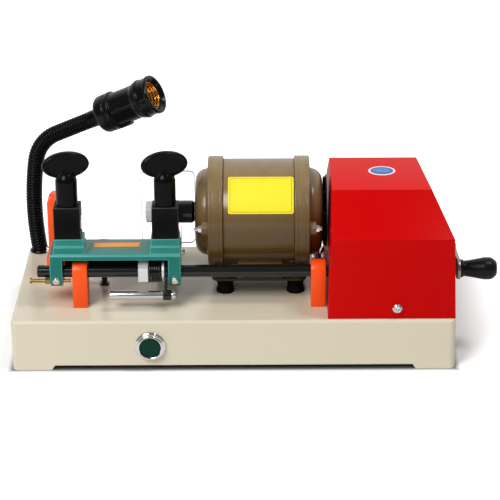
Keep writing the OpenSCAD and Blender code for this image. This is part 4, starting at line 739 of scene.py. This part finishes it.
NODE_FINISHES = {
    "beige_enamel": ["base_pan"],
    "chrome": ["switch_bezel"],
    "black_plastic": ["switch_block", "cooling_fan"],
    "white_plastic": ["run_capacitor"],
    "orange_enamel": ["left_bracket", "right_bracket", "tracer_post"],
    "bronze": ["rod_bushes", "feed_yoke"],
    "satin_nickel": ["cutter_nut", "rod_collars"],
    "ground_steel": ["tracer_bar", "motor_bearings", "motor_shaft", "gauge_bar",
                     "left_jaw", "right_jaw", "left_clamp_screw", "right_clamp_screw", "feed_screw", "key_stop"],
    "zinc": ["tracer_screws", "frame_fasteners", "motor_tie_bolts", "small_screws", "guard_bracket",
             "earth_terminal", "arm_screws", "crank_arm"],
    "rubber": ["motor_mounts"],
    "brown_enamel": ["motor_plate"],
    "taupe_enamel": ["motor_body", "motor_bell_left", "motor_bell_right"],
    "cast_iron": ["stator", "rotor_core", "feed_brackets"],
    "red_enamel": ["cover"],
    "acrylic": ["guard"],
    "hose_black": ["gooseneck"],
    "phenolic": ["lamp_cap", "lamp_body", "left_knob", "right_knob", "crank_grip"],
    "brass": ["lamp_shell"],
    "old_brass": ["stop_pin"],
    "ceramic": ["lamp_insert"],
    "black_oxide": ["cutter_sleeve", "carriage_rod", "tilt_spring", "tilt_stop_screw", "gauge_lever"],
    "cutter_steel": ["cutter"],
    "teal_enamel": ["carriage_frame"],
    "vise_black": ["left_vise", "right_vise"],
    "green_lens": ["switch_button"],
}


class KEYMACHINE_OT_finishes(bpy.types.Operator):
    """Make the finishes and give each solid of the frame its own"""

    bl_idname = "keymachine.finishes"
    bl_label = "Finishes"

    def execute(self, context):
        make_finishes()
        for name, nodes in NODE_FINISHES.items():
            for node in nodes:
                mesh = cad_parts[node].data
                mesh.materials.clear()
                mesh.materials.append(FINISHES[name])
        return {"FINISHED"}


class KEYMACHINE_OT_cover(bpy.types.Operator):
    """Fold the sheet cover with its openings and lay the oval badge on its top"""

    bl_idname = "keymachine.cover"
    bl_label = "Cover"

    def execute(self, context):
        sizes = context.scene.machine_sizes
        front, back, foot, knee_z, top_z = -94.0, 96.0, BASE_TOP, 140.4, COVER_TOP
        left, right = 95.5, 224.5
        knee = Vector((221.4, front, knee_z))
        top_front = Vector((201.2, -44.0, top_z))
        top_back = Vector((191.4, 49.5, top_z))
        bm = between_planes([
            ((0, 0, foot), (0, 0, -1)), ((0, front, 0), (0, -1, 0)), ((0, back, 0), (0, 1, 0)),
            ((left, 0, foot), (-120.0, 0, 4.5)), ((right, 0, foot), (87.4, 0, 3.1)),
            (knee, (0, knee_z - top_z, 50.0)), ((0, back, knee_z), (0, top_z - knee_z, 46.5)),
            ((0, 0, top_z), (0, 0, 1)),
            (knee, (top_back - knee).cross(top_front - knee))], 300.0)
        floor_faces = [face for face in bm.faces if face.normal.z < -0.9]
        bmesh.ops.delete(bm, geom=floor_faces, context="FACES_ONLY")
        folds = [edge for edge in bm.edges if not edge.is_boundary]
        bmesh.ops.bevel(bm, geom=folds, offset=sizes.bend / MM, segments=4, profile=0.5, affect="EDGES",
                        clamp_overlap=True)
        bm.transform(place(0, 0, 0))
        bmesh.ops.recalc_face_normals(bm, faces=bm.faces)
        middle = sum((vert.co for vert in bm.verts), Vector()) / len(bm.verts)
        outward = sum((face.calc_center_median() - middle).dot(face.normal) for face in bm.faces)
        if outward < 0:
            bmesh.ops.reverse_faces(bm, faces=bm.faces)
        mesh = bpy.data.meshes.new("cover_sheet")
        bm.to_mesh(mesh)
        bm.free()
        mesh.materials.append(FINISHES["red_enamel"])
        hood = bpy.data.objects.new("cover_sheet", mesh)
        context.scene.collection.objects.link(hood)
        sheet = hood.modifiers.new("Sheet", "SOLIDIFY")
        sheet.thickness = sizes.sheet
        sheet.offset = -1.0
        settle(hood)
        holes = bmesh.new()
        for matrix, radius in ((along_x(85.0, ROD_Y, ROD_Z), 8.25), (along_x(212.0, CRANK_Y, ROD_Z), 7.5)):
            lathe(holes, [(0, 0), (radius, 0), (radius, 20), (0, 20)], matrix, 64)
        for y in (-84.0, 106.0):
            lathe(holes, [(0, 0), (2.4, 0), (2.4, 20), (0, 20)], along_front(165.5, y, 65.4), 32)
        bmesh.ops.recalc_face_normals(holes, faces=holes.faces)
        carve(hood, holes)
        mesh = hood.data
        # Painted reflection: the cover's flat top takes the lighter red.
        mesh.materials.append(FINISHES["red_enamel_painted_sheen"])
        crest = at(0, 0, top_z - 1.2).z
        for face in mesh.polygons:
            face.material_index = 1 if face.normal.z > 0.97 and face.center.z > crest else 0
        stands_for(hood, "base", "cover")
        self.make_badge()
        return {"FINISHED"}

    def make_badge(self):
        """Lay the oval badge with its rim and its paler middle."""
        rim, field, sheen = bmesh.new(), bmesh.new(), bmesh.new()
        top = place(153.2, 9.7, COVER_TOP)
        prism(rim, oval(0, 0, 14.0, 12.9), top, 0.02, 0.28)
        prism(field, oval(0, 0, 11.8, 10.4), top, 0.24, 0.34)
        prism(sheen, oval(0, 1.2, 9.0, 6.2), top, 0.30, 0.38)
        stands_for(piece_from("badge_rim", rim, "label_white"), "base")
        stands_for(piece_from("badge_field", field, "label_blue"), "base")
        stands_for(piece_from("badge_centre", sheen, "label_pale_blue"), "base")


class KEYMACHINE_OT_motor(bpy.types.Operator):
    """Turn the motor's body and its two end bells, and stick the plain label on"""

    bl_idname = "keymachine.motor"
    bl_label = "Motor"

    def execute(self, context):
        shell = bmesh.new()
        lathe(shell, rounded([(51.2, -MOTOR_HALF), (MOTOR_RADIUS, -MOTOR_HALF, 0.4),
                              (MOTOR_RADIUS, MOTOR_HALF, 0.4), (51.2, MOTOR_HALF)], True, 2),
              along_x(MOTOR_X, MOTOR_Y, MOTOR_Z), 160, True)
        stands_for(piece_from("motor_shell", shell, "taupe_enamel"), "base", "motor_body")
        section = rounded([
            (8.6, 26.0, 0.4), (8.6, 29.1, 0.6), (45.0, 29.1, 13.0), (45.0, 16.6, 1.6), (47.6, 15.6, 0.6),
            (56.9, 15.6, 1.2), (57.7, 14.4, 0.6), (57.7, 12.1, 0.15), (57.3, 11.8, 0.15), (57.7, 11.5, 0.15),
            (57.7, 4.1, 0.15), (57.3, 3.8, 0.15), (57.7, 3.5, 0.15), (57.7, 0.5, 0.5), (56.6, 0.0, 0.4),
            (51.6, 0.0, 0.2), (51.6, 11.0, 2.0), (42.0, 14.0, 1.0), (42.0, 21.0, 8.0), (30.0, 26.0, 0.5)], True)
        for side, word in ((-1, "left"), (1, "right")):
            bell = bmesh.new()
            matrix = along_x(MOTOR_X + side * MOTOR_HALF, MOTOR_Y, MOTOR_Z, side)
            lathe(bell, section, matrix, 160, True)
            for edge in (-48.4, 48.4):
                corners = [math.radians(22.5 + 45 * k) for k in range(8)]
                outline = rounded([(7.4 * math.cos(turn), edge + 7.4 * math.sin(turn), 1.0) for turn in corners],
                                  True, 2)
                prism(bell, outline, matrix, 14.0, 21.6)
            stands_for(piece_from(f"motor_bell_{word}_turned", bell, "taupe_enamel"), "base",
                       f"motor_bell_{word}")
        self.make_label()
        return {"FINISHED"}

    def make_label(self):
        """Wrap the bare label with its thin border; its sides are in millimetres and in degrees from the top."""
        left, right, high, low = -5.1, 61.5, 28.6, 71.0
        shell = (MOTOR_Y, MOTOR_Z, MOTOR_RADIUS)
        field, rule, inner = bmesh.new(), bmesh.new(), bmesh.new()
        for patch, inset, corner, bottom, top in (
                (field, 0.0, 2.2, 0.02, 0.22), (rule, 1.8, 1.2, 0.2, 0.26), (inner, 2.3, 0.8, 0.24, 0.3)):
            outline = rectangle(left + inset, high + inset, right - inset, low - inset, corner)
            wrap_patch(patch, outline, bottom, top, *shell, 40)
        stands_for(piece_from("motor_label", field, "label_yellow"), "base")
        stands_for(piece_from("motor_label_rule", rule, "label_grey"), "base")
        stands_for(piece_from("motor_label_inner", inner, "label_yellow"), "base")


NECK_FOOT = (-212.2, 86.5, 55.457)
NECK_YAW = math.radians(-17.6)
NECK_BENDS = ((316.0, 18.8), (45.0, 54.6))
NECK_END = 57.0


def neck_points(step=1.5):
    """Points along the middle of the lamp's neck and the heading at each, in the neck's own plane."""
    heading = math.radians(90.0 + NECK_BENDS[0][1] / 2)
    a = b = 0.0
    path = [(a, b, heading)]
    for radius, turn in NECK_BENDS:
        count = max(2, round(radius * math.radians(turn) / step))
        share = math.radians(turn) / count
        for _ in range(count):
            after = heading - share
            a += radius * (math.sin(heading) - math.sin(after))
            b += radius * (math.cos(after) - math.cos(heading))
            heading = after
            path.append((a, b, heading))
    for _ in range(round(NECK_END / step)):
        part = NECK_END / round(NECK_END / step)
        a += part * math.cos(heading)
        b += part * math.sin(heading)
        path.append((a, b, heading))
    return path


def on_neck(a, b, heading):
    """A frame on the neck with its Z axis along the neck."""
    return (place(*NECK_FOOT) @ Matrix.Rotation(NECK_YAW, 4, "Z") @ Matrix.Translation((a, 0.0, b))
            @ Matrix.Rotation(math.radians(90.0) - heading, 4, "Y"))


class KEYMACHINE_OT_lamp(bpy.types.Operator):
    """Build the ribbed gooseneck and the lamp holder with its threaded brass shell"""

    bl_idname = "keymachine.lamp"
    bl_label = "Lamp"

    def execute(self, context):
        sizes = context.scene.machine_sizes
        path = neck_points()
        bm = bmesh.new()
        chain = [bm.verts.new(on_neck(*point) @ Vector((0, 0, 0))) for point in path[:-8]]
        for one, other in zip(chain, chain[1:]):
            bm.edges.new((one, other))
        hose = grow("ribbed_neck", bm, ribbed_hose_build(), "hose_black", Pitch=sizes.rib_pitch,
                    Core_Radius=0.0076, Rib_Radius=sizes.rib_radius, Outer_Radius=0.0088)
        stands_for(hose, "base", "gooseneck")
        end = on_neck(*path[-1])
        ferrule = bmesh.new()
        lathe(ferrule, rounded([(0, -13.0), (8.9, -13.0, 0.5), (9.0, -6.0, 2.0), (9.9, 0.3), (0, 0.3)]), end, 64)
        stands_for(piece_from("neck_ferrule", ferrule, "phenolic"), "base")
        foot = bmesh.new()
        lathe(foot, rounded([(0, 54.05), (10.6, 54.05, 0.3), (10.6, 55.4, 0.6), (8.9, 57.4, 0.4), (0, 57.4)]),
              place(NECK_FOOT[0], NECK_FOOT[1], 0.0), 64)
        stands_for(piece_from("neck_foot", foot, "hose_black"), "base")
        cap = bmesh.new()
        lathe(cap, rounded([
            (0, 0.02), (9.0, 0.02, 0.3), (13.0, 0.3, 2.0), (20.0, 3.0, 6.0), (20.0, 13.4, 0.4),
            (19.3, 13.8, 0.2), (19.3, 14.5, 0.2), (20.0, 14.9, 0.2), (20.0, 15.4), (0, 15.4)]), end, 96)
        stands_for(piece_from("lamp_rear_cap", cap, "bakelite"), "base", "lamp_cap")
        self.make_barrel(end)
        self.make_shell(end, sizes)
        return {"FINISHED"}

    def make_barrel(self, end):
        """Turn the holder's barrel with its hook and its small tab."""
        barrel = bmesh.new()
        lathe(barrel, rounded([
            (5.0, 15.44), (19.4, 15.44, 0.3), (20.2, 16.2, 0.3), (20.2, 20.4, 0.9), (17.9, 21.4, 0.5),
            (17.9, 46.6, 1.0), (19.5, 50.4, 0.8), (19.5, 52.4, 0.5), (20.6, 53.6, 0.8), (20.6, 55.8, 0.8),
            (19.7, 57.0, 0.6), (19.7, 65.4, 0.6), (20.6, 66.4, 0.8), (20.6, 69.7, 1.4), (17.6, 69.7, 1.0),
            (14.4, 66.2, 0.4), (14.12, 44.6, 0.3), (5.0, 44.6)], True), end, 112, True)
        hook = end @ Matrix.Rotation(math.radians(-15.0), 4, "Z")
        prism(barrel, rounded([
            (16.5, 17.0), (20.4, 17.0, 1.0), (20.4, 30.0, 1.2), (19.2, 33.0, 0.6), (16.5, 33.0)], True),
              hook @ Matrix.Rotation(math.radians(90.0), 4, "X"), -4.0, 4.0)
        tab = end @ Matrix.Rotation(math.radians(-100.0), 4, "Z")
        prism(barrel, rounded([(17.0, 28.0), (18.6, 28.6, 0.4), (18.6, 32.4, 0.4), (17.0, 33.0)], True),
              tab @ Matrix.Rotation(math.radians(90.0), 4, "X"), -0.5, 0.5)
        stands_for(piece_from("lamp_barrel", barrel, "bakelite"), "base", "lamp_body")

    def make_shell(self, end, sizes):
        """Roll the brass shell with its round thread, which fades out at both ends."""
        steps, low, high, outer = 96, 45.7, 65.7, 14.0
        depth, pitch = sizes.thread_depth / MM, sizes.thread_pitch / MM
        rows = round((high - low) / pitch * 8)
        bm = bmesh.new()
        grid = []
        for row in range(rows + 1):
            height = low + (high - low) * row / rows
            fade = min(1.0, row / 4, (rows - row) / 4)
            ring = []
            for k in range(steps):
                phase = 2 * math.pi * (height / pitch - k / steps)
                radius = outer - 0.35 - depth * fade * (0.5 - 0.5 * math.cos(phase))
                turn = 2 * math.pi * k / steps
                point = Vector((radius * math.cos(turn), radius * math.sin(turn), height))
                ring.append(bm.verts.new(end @ point))
            grid.append(ring)
        for height in (high, low):
            grid.append(ring_at(bm, end, outer, height, steps))
        closed_skin(bm, grid)
        stands_for(piece_from("threaded_shell", bm, "brass", 60.0), "base", "lamp_shell")


class KEYMACHINE_OT_knobs(bpy.types.Operator):
    """Mould the two clamp knobs with their dished oval wings"""

    bl_idname = "keymachine.knobs"
    bl_label = "Clamp knobs"

    def execute(self, context):
        for word, x in VISES.items():
            self.make_knob(context, word, x)
        return {"FINISHED"}

    def make_knob(self, context, word, x):
        """Mould one knob: a stem with an oval wing that is dished and webbed on both faces."""
        foot = place(x, -49.0, 162.8)
        wing_a, wing_b = 24.0, 13.8
        wing = (foot @ Matrix.Rotation(math.radians(16.0), 4, "Z") @ Matrix.Translation((0, 0, 41.75))
                @ Matrix.Rotation(math.radians(90.0), 4, "X") @ Matrix.Diagonal((1.0, wing_b / wing_a, 1.0, 1.0)))
        bm = bmesh.new()
        lathe(bm, rounded([
            (0, 0), (11.0, 0, 0.8), (11.0, 25.6, 2.6), (9.6, 29.6, 3.0), (6.6, 33.4), (0, 33.4)]), foot, 72)
        face = [(0, 2.75), (19.6, 2.75, 1.6), (20.9, 3.9, 0.8), (22.2, 3.9, 1.5), (wing_a, 2.2, 1.4)]
        lower = [(a, -b, *rest) for a, b, *rest in reversed(face)]
        lathe(bm, rounded(face + lower), wing, 120)
        for middle in (-6.0, -2.0, 2.0, 6.0):
            web = rectangle(-5.2, (middle - 0.5) * wing_a / wing_b, 5.2, (middle + 0.5) * wing_a / wing_b)
            for side in (-1, 1):
                prism(bm, web, wing, *sorted((side * 2.4, side * 3.0)))
        obj = piece_from(f"{word}_moulded_knob", bm, "phenolic")
        blend = obj.modifiers.new("Blend", "REMESH")
        blend.mode = "VOXEL"
        blend.voxel_size = context.scene.machine_sizes.knob_voxel
        smooth = obj.modifiers.new("Soften", "SMOOTH")
        smooth.factor = 0.5
        smooth.iterations = 5
        settle(obj, 70.0)
        stands_for(obj, f"{word}_clamp", f"{word}_knob")


class KEYMACHINE_OT_carriage(bpy.types.Operator):
    """Round the edges of the carriage and its vises, coil the spring and lay the bare strip"""

    bl_idname = "keymachine.carriage"
    bl_label = "Carriage"

    def execute(self, context):
        edge = context.scene.machine_sizes.soft_edge
        casting = softened("carriage_frame", "carriage_casting", "teal_enamel", edge * 1.2, edge_highlight_finish="teal_edge_highlight")
        stands_for(casting, "carriage", "carriage_frame")
        for word in VISES:
            block = softened(f"{word}_vise", f"{word}_vise_block", "vise_black", edge, edge_highlight_finish="vise_edge_highlight")
            stands_for(block, "carriage", f"{word}_vise")
        self.make_shade_web()
        self.make_gauge_bar()
        self.make_strip()
        self.make_spring()
        return {"FINISHED"}

    def make_shade_web(self):
        """Lay the web under the plate, black rather than the casting's teal: painted shade under the plate."""
        web = bmesh.new()
        section = rounded([(-38.0, 107.2), (-38.0, 89.2, 1.4), (-34.6, 89.2, 1.4), (-33.8, 107.2)], True)
        lengthwise = Matrix(((0, 0, 1, 0), (1, 0, 0, 0), (0, 1, 0, 0), (0, 0, 0, 1)))
        prism(web, section, place(0, 0, 0) @ lengthwise, -174.0, -66.0)
        stands_for(piece_from("carriage_shade_web", web, "vise_black"), "carriage")

    def make_gauge_bar(self):
        """Turn the gauge's bar, which is thinner where it passes the lever."""
        low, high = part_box("gauge_bar")
        middle, bar_l = (low + high) / 2, (high.x - low.x) / MM
        bar = bmesh.new()
        lever_low, lever_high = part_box("gauge_lever")
        near, past = (lever_low.x - low.x) / MM - 0.3, (lever_high.x - low.x) / MM + 0.3
        lathe(bar, rounded([(0, 0), (4.6, 0, 1.8), (4.6, near, 0.3), (3.5, near), (3.5, past), (4.3, past, 0.3),
                            (4.3, bar_l, 1.2), (0, bar_l)]),
              Matrix.Translation((low.x, middle.y, middle.z)) @ Matrix.Rotation(math.radians(90.0), 4, "Y")
              @ Matrix.Scale(MM, 4), 64)
        stands_for(piece_from("ground_gauge_bar", bar, "ground_steel"), "gauge", "gauge_bar")

    def make_strip(self):
        """Lay the bare strip with its border on the plate."""
        border, field = bmesh.new(), bmesh.new()
        top = place(0, 0, 112.5)
        prism(border, rectangle(-143.6, -44.0, -95.4, -31.4, 0.8), top, 0.02, 0.16)
        prism(field, rectangle(-142.6, -42.6, -96.4, -32.8, 0.5), top, 0.12, 0.22)
        stands_for(piece_from("strip_border", border, "label_orange"), "carriage")
        stands_for(piece_from("strip_field", field, "label_strip"), "carriage")

    def make_spring(self):
        """Coil the spring that tilts the carriage."""
        low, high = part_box("tilt_spring")
        wire = 0.00105
        rod = at(0, ROD_Y, ROD_Z)
        spot = bmesh.new()
        spot.verts.new(Vector((low.x + wire, rod.y, rod.z)))
        spring = grow("coil_spring", spot, coil_build(), "black_oxide", Turns=5.0, Coil_Radius=0.01105,
                      Wire_Radius=wire, Length=high.x - low.x - 2 * wire)
        stands_for(spring, "slide_rod", "tilt_spring")


class KEYMACHINE_OT_castings(bpy.types.Operator):
    """Round the edges of the brackets, the tracer post, the motor plate and the crank"""

    bl_idname = "keymachine.castings"
    bl_label = "Castings and crank"

    def execute(self, context):
        edge = context.scene.machine_sizes.soft_edge
        for node in ("left_bracket", "right_bracket", "tracer_post"):
            casting = softened(node, node + "_casting", "orange_enamel", edge * 1.3)
            if node == "tracer_post":
                shoulder, drop = at(0, 0, 141.0).z, 6.0 * MM
                for vert in casting.data.vertices:
                    vert.co.z -= drop if vert.co.z > shoulder else 0.0
            stands_for(casting, "base", node)
        saddle = softened("motor_plate", "motor_saddle", "brown_enamel", edge)
        # Two-tone paint with painted light: the saddle's upper faces take the motor's taupe, whose up-facing faces
        # carry painted light, so its lit top is lighter.
        saddle.data.materials.append(FINISHES["taupe_enamel"])
        crest = at(0, 0, 77.0).z
        for face in saddle.data.polygons:
            face.material_index = 1 if face.center.z > crest else 0
        stands_for(saddle, "base", "motor_plate")
        arm = softened("crank_arm", "crank_forging", "dull_steel", edge * 1.2)
        hub, eye, inner = at(0, CRANK_Y, ROD_Z), at(0, CRANK_PIN_Y, ROD_Z), at(227.5, 0, 0).x
        shift, narrowing = 2.0 * MM, 0.2
        for vert in arm.data.vertices:
            part = min(max((vert.co.y - eye.y) / (hub.y - eye.y), 0.0), 1.0)
            if vert.co.x > inner:
                vert.co.x -= shift * part
                vert.co.z = hub.z + (vert.co.z - hub.z) * (1.0 - narrowing * part)
        stands_for(arm, "crank", "crank_arm")
        grip = bmesh.new()
        lathe(grip, rounded([
            (0, 29.9), (4.05, 29.9), (4.05, 0.0), (9.2, 0.0, 0.5), (9.2, 2.6, 0.7), (8.1, 3.2, 0.5),
            (8.1, 5.5, 6.0), (9.5, 14.0, 16.0), (11.5, 24.5, 10.0), (11.4, 31.6, 7.0), (7.4, 37.0, 5.0),
            (0, 37.7)], steps=6),
              along_x(231.7, CRANK_PIN_Y, ROD_Z), 80)
        stands_for(piece_from("turned_grip", grip, "grip_black"), "grip", "crank_grip")
        return {"FINISHED"}


class KEYMACHINE_OT_guard(bpy.types.Operator):
    """Cut the clear guard with its frosted rim"""

    bl_idname = "keymachine.guard"
    bl_label = "Guard"

    def execute(self, context):
        low, high = -98.1, -41.1
        bottom, top = 83.0, 164.5
        thick, lap, proud = 3.0, 0.45, 0.02
        face = along_front(0, 39.5, 0)
        plate = bmesh.new()
        prism(plate, rectangle(low + 0.4, bottom + 0.4, high - 0.4, top - 0.4, 5.6), face, 0.0, thick)
        sheet = piece_from("clear_guard", plate, "acrylic")
        stands_for(sheet, "base", "guard")
        rim = bmesh.new()
        outer = rectangle(low, bottom, high, top, 6.0)
        inner = rectangle(low + lap, bottom + lap, high - lap, top - lap, 6.0 - lap)
        rings = [[rim.verts.new(face @ Vector((a, b, depth))) for a, b in outline]
                 for outline, depth in ((outer, 0.0), (outer, thick), (inner, thick + proud), (inner, -proud))]
        closed_skin(rim, rings)
        stands_for(piece_from("guard_rim", rim, "acrylic_edge"), "base")
        return {"FINISHED"}


class KEYMACHINE_OT_button(bpy.types.Operator):
    """Turn the stepped bezel of the push button"""

    bl_idname = "keymachine.button"
    bl_label = "Push button"

    def execute(self, context):
        face = along_front(-84.5, -98.0, 27.0)
        bezel = bmesh.new()
        lathe(bezel, rounded([
            (10.9, -9.0), (12.6, -9.0), (12.6, 0.02), (15.5, 0.02, 0.2), (15.5, 2.0, 1.2), (14.2, 3.2, 0.4),
            (13.6, 3.2, 0.3), (13.2, 6.2, 0.8), (11.9, 6.9, 0.5), (10.9, 6.2, 0.3)], True), face, 96, True)
        stands_for(piece_from("stepped_bezel", bezel, "chrome"), "base", "switch_bezel")
        return {"FINISHED"}


class KEYMACHINE_OT_stage(bpy.types.Operator):
    """Set the camera, the floor and the soft light"""

    bl_idname = "keymachine.stage"
    bl_label = "Stage"

    def execute(self, context):
        settings = context.scene.stage_settings
        camera = bpy.data.cameras.new("camera")
        camera.lens = settings.lens
        camera.sensor_width = 36.0
        camera.shift_x = settings.shift
        camera.clip_end = 20.0
        viewer = bpy.data.objects.new("camera", camera)
        viewer.matrix_world = (Matrix.Translation((0.010, -2.0272, 0.9521))
                               @ Matrix.Rotation(math.radians(90) - settings.pitch, 4, "X")
                               @ Matrix.Rotation(settings.roll, 4, "Z"))
        context.scene.collection.objects.link(viewer)
        context.scene.camera = viewer
        self.make_floor(context)
        self.make_world(context, settings)
        self.make_light(context, "key", (-1.12, -1.52, 1.83), 1.1, settings.key)
        self.make_light(context, "fill", (0.9, -0.3, 2.1), 0.5, settings.fill)
        context.scene.view_settings.view_transform = "Standard"
        return {"FINISHED"}

    def make_floor(self, context):
        """Lay the pale floor with a painted shadow under the machine's edge; it keeps the machine's cast shadow and
        turns white further off.
        """
        bm = bmesh.new()
        bmesh.ops.create_grid(bm, x_segments=2, y_segments=2, size=6.0)
        mesh = bpy.data.meshes.new("floor")
        bm.to_mesh(mesh)
        bm.free()
        material = bpy.data.materials.new("floor")
        material.use_nodes = True
        tree = material.node_tree
        shader = tree.nodes["Principled BSDF"]
        shader.inputs["Roughness"].default_value = 0.8
        shader.inputs["Specular IOR Level"].default_value = 0.0
        path = add(tree, "ShaderNodeLightPath")
        seen = maths(tree, "MAXIMUM", path.outputs["Is Camera Ray"], path.outputs["Is Transmission Ray"])
        mix = add(tree, "ShaderNodeMix", data_type="RGBA")
        mix.inputs[6].default_value = (0.8, 0.8, 0.8, 1.0)
        link(tree, seen, mix.inputs["Factor"])
        link(tree, mix.outputs[2], shader.inputs["Base Color"])
        shader.inputs["Emission Color"].default_value = (1.0, 1.0, 1.0, 1.0)
        spot = add(tree, "ShaderNodeTexCoord")
        axes = axes_of(tree, spot.outputs["Object"])
        shadow_reach, white_glow = (0.002, 0.07), 0.62
        # Painted shadow: near the base's outline the floor's colour for the camera darkens to this tone.
        painted_shadow_reach, painted_shadow_tone = (-0.002, 0.007), 0.12
        outside = []
        for axis, middle, half in (("X", BASE_MIDDLE.x, (base_high.x - base_low.x) / 2),
                                   ("Y", BASE_MIDDLE.y, (base_high.y - base_low.y) / 2)):
            off = maths(tree, "ABSOLUTE", maths(tree, "SUBTRACT", axes.outputs[axis], middle))
            outside.append(maths(tree, "SUBTRACT", off, half))
        distance = maths(tree, "MAXIMUM", *outside)
        away = fade(tree, distance, *shadow_reach)
        glow = maths(tree, "MULTIPLY", maths(tree, "MULTIPLY", seen, away), white_glow)
        # Painted shadow under the base's edge.
        under = fade(tree, distance, *painted_shadow_reach, painted_shadow_tone)
        pale = add(tree, "ShaderNodeCombineColor")
        for channel in pale.inputs:
            link(tree, under, channel)
        link(tree, pale.outputs["Color"], mix.inputs[7])
        link(tree, glow, shader.inputs["Emission Strength"])
        mesh.materials.append(material)
        floor = bpy.data.objects.new("floor", mesh)
        context.scene.collection.objects.link(floor)

    def make_world(self, context, settings):
        """Surround the machine with plain light; the camera sees it white, reflections only behind the machine."""
        world = bpy.data.worlds.new("studio")
        context.scene.world = world
        world.use_nodes = True
        tree = world.node_tree
        ground = tree.nodes["Background"]
        ground.inputs["Color"].default_value = (1.0, 1.0, 1.0, 1.0)
        path = add(tree, "ShaderNodeLightPath")
        seen = maths(tree, "MAXIMUM", path.outputs["Is Camera Ray"], path.outputs["Is Transmission Ray"])
        heading = add(tree, "ShaderNodeTexCoord")
        axes = axes_of(tree, heading.outputs["Generated"])
        backdrop = fade(tree, axes.outputs["Y"], 0.0, 0.7, settings.world * 0.6)
        around = maths(tree, "MULTIPLY", path.outputs["Is Glossy Ray"],
                       maths(tree, "SUBTRACT", backdrop, settings.world))
        dim = maths(tree, "ADD", around, settings.world)
        gap = maths(tree, "SUBTRACT", 1.0, dim)
        link(tree, maths(tree, "MULTIPLY_ADD", seen, gap, dim), ground.inputs["Strength"])

    def make_light(self, context, name, place, size, power):
        """Hang one soft square light, aimed at the machine."""
        data = bpy.data.lights.new(name, "AREA")
        data.shape = "SQUARE"
        data.size = size
        data.energy = power
        lamp = bpy.data.objects.new(name, data)
        lamp.location = place
        aim = Vector((0.0, 0.0, 0.1)) - Vector(place)
        lamp.rotation_euler = aim.to_track_quat("-Z", "Y").to_euler()
        context.scene.collection.objects.link(lamp)


class KEYMACHINE_PT_panel(bpy.types.Panel):
    """Lists the machine's steps"""

    bl_idname = "KEYMACHINE_PT_panel"
    bl_label = "Key Machine"
    bl_space_type = "VIEW_3D"
    bl_region_type = "UI"
    bl_category = "Key Machine"

    def draw(self, context):
        for operator in OPERATORS:
            self.layout.operator(operator.bl_idname)


SETTINGS = {"machine_colours": MachineColours, "machine_sizes": MachineSizes, "stage_settings": StageSettings}
OPERATORS = [KEYMACHINE_OT_finishes, KEYMACHINE_OT_cover, KEYMACHINE_OT_motor, KEYMACHINE_OT_lamp,
             KEYMACHINE_OT_knobs, KEYMACHINE_OT_carriage, KEYMACHINE_OT_castings, KEYMACHINE_OT_guard,
             KEYMACHINE_OT_button, KEYMACHINE_OT_stage]


def register():
    for name, group in SETTINGS.items():
        bpy.utils.register_class(group)
        setattr(bpy.types.Scene, name, PointerProperty(type=group))
    for operator in OPERATORS:
        bpy.utils.register_class(operator)
    bpy.utils.register_class(KEYMACHINE_PT_panel)


def unregister():
    bpy.utils.unregister_class(KEYMACHINE_PT_panel)
    for operator in reversed(OPERATORS):
        bpy.utils.unregister_class(operator)
    for name, group in reversed(SETTINGS.items()):
        delattr(bpy.types.Scene, name)
        bpy.utils.unregister_class(group)


def main():
    register()
    for operator in OPERATORS:
        family, action = operator.bl_idname.split(".")
        getattr(getattr(bpy.ops, family), action)()


if __name__ == "__main__":
    main()
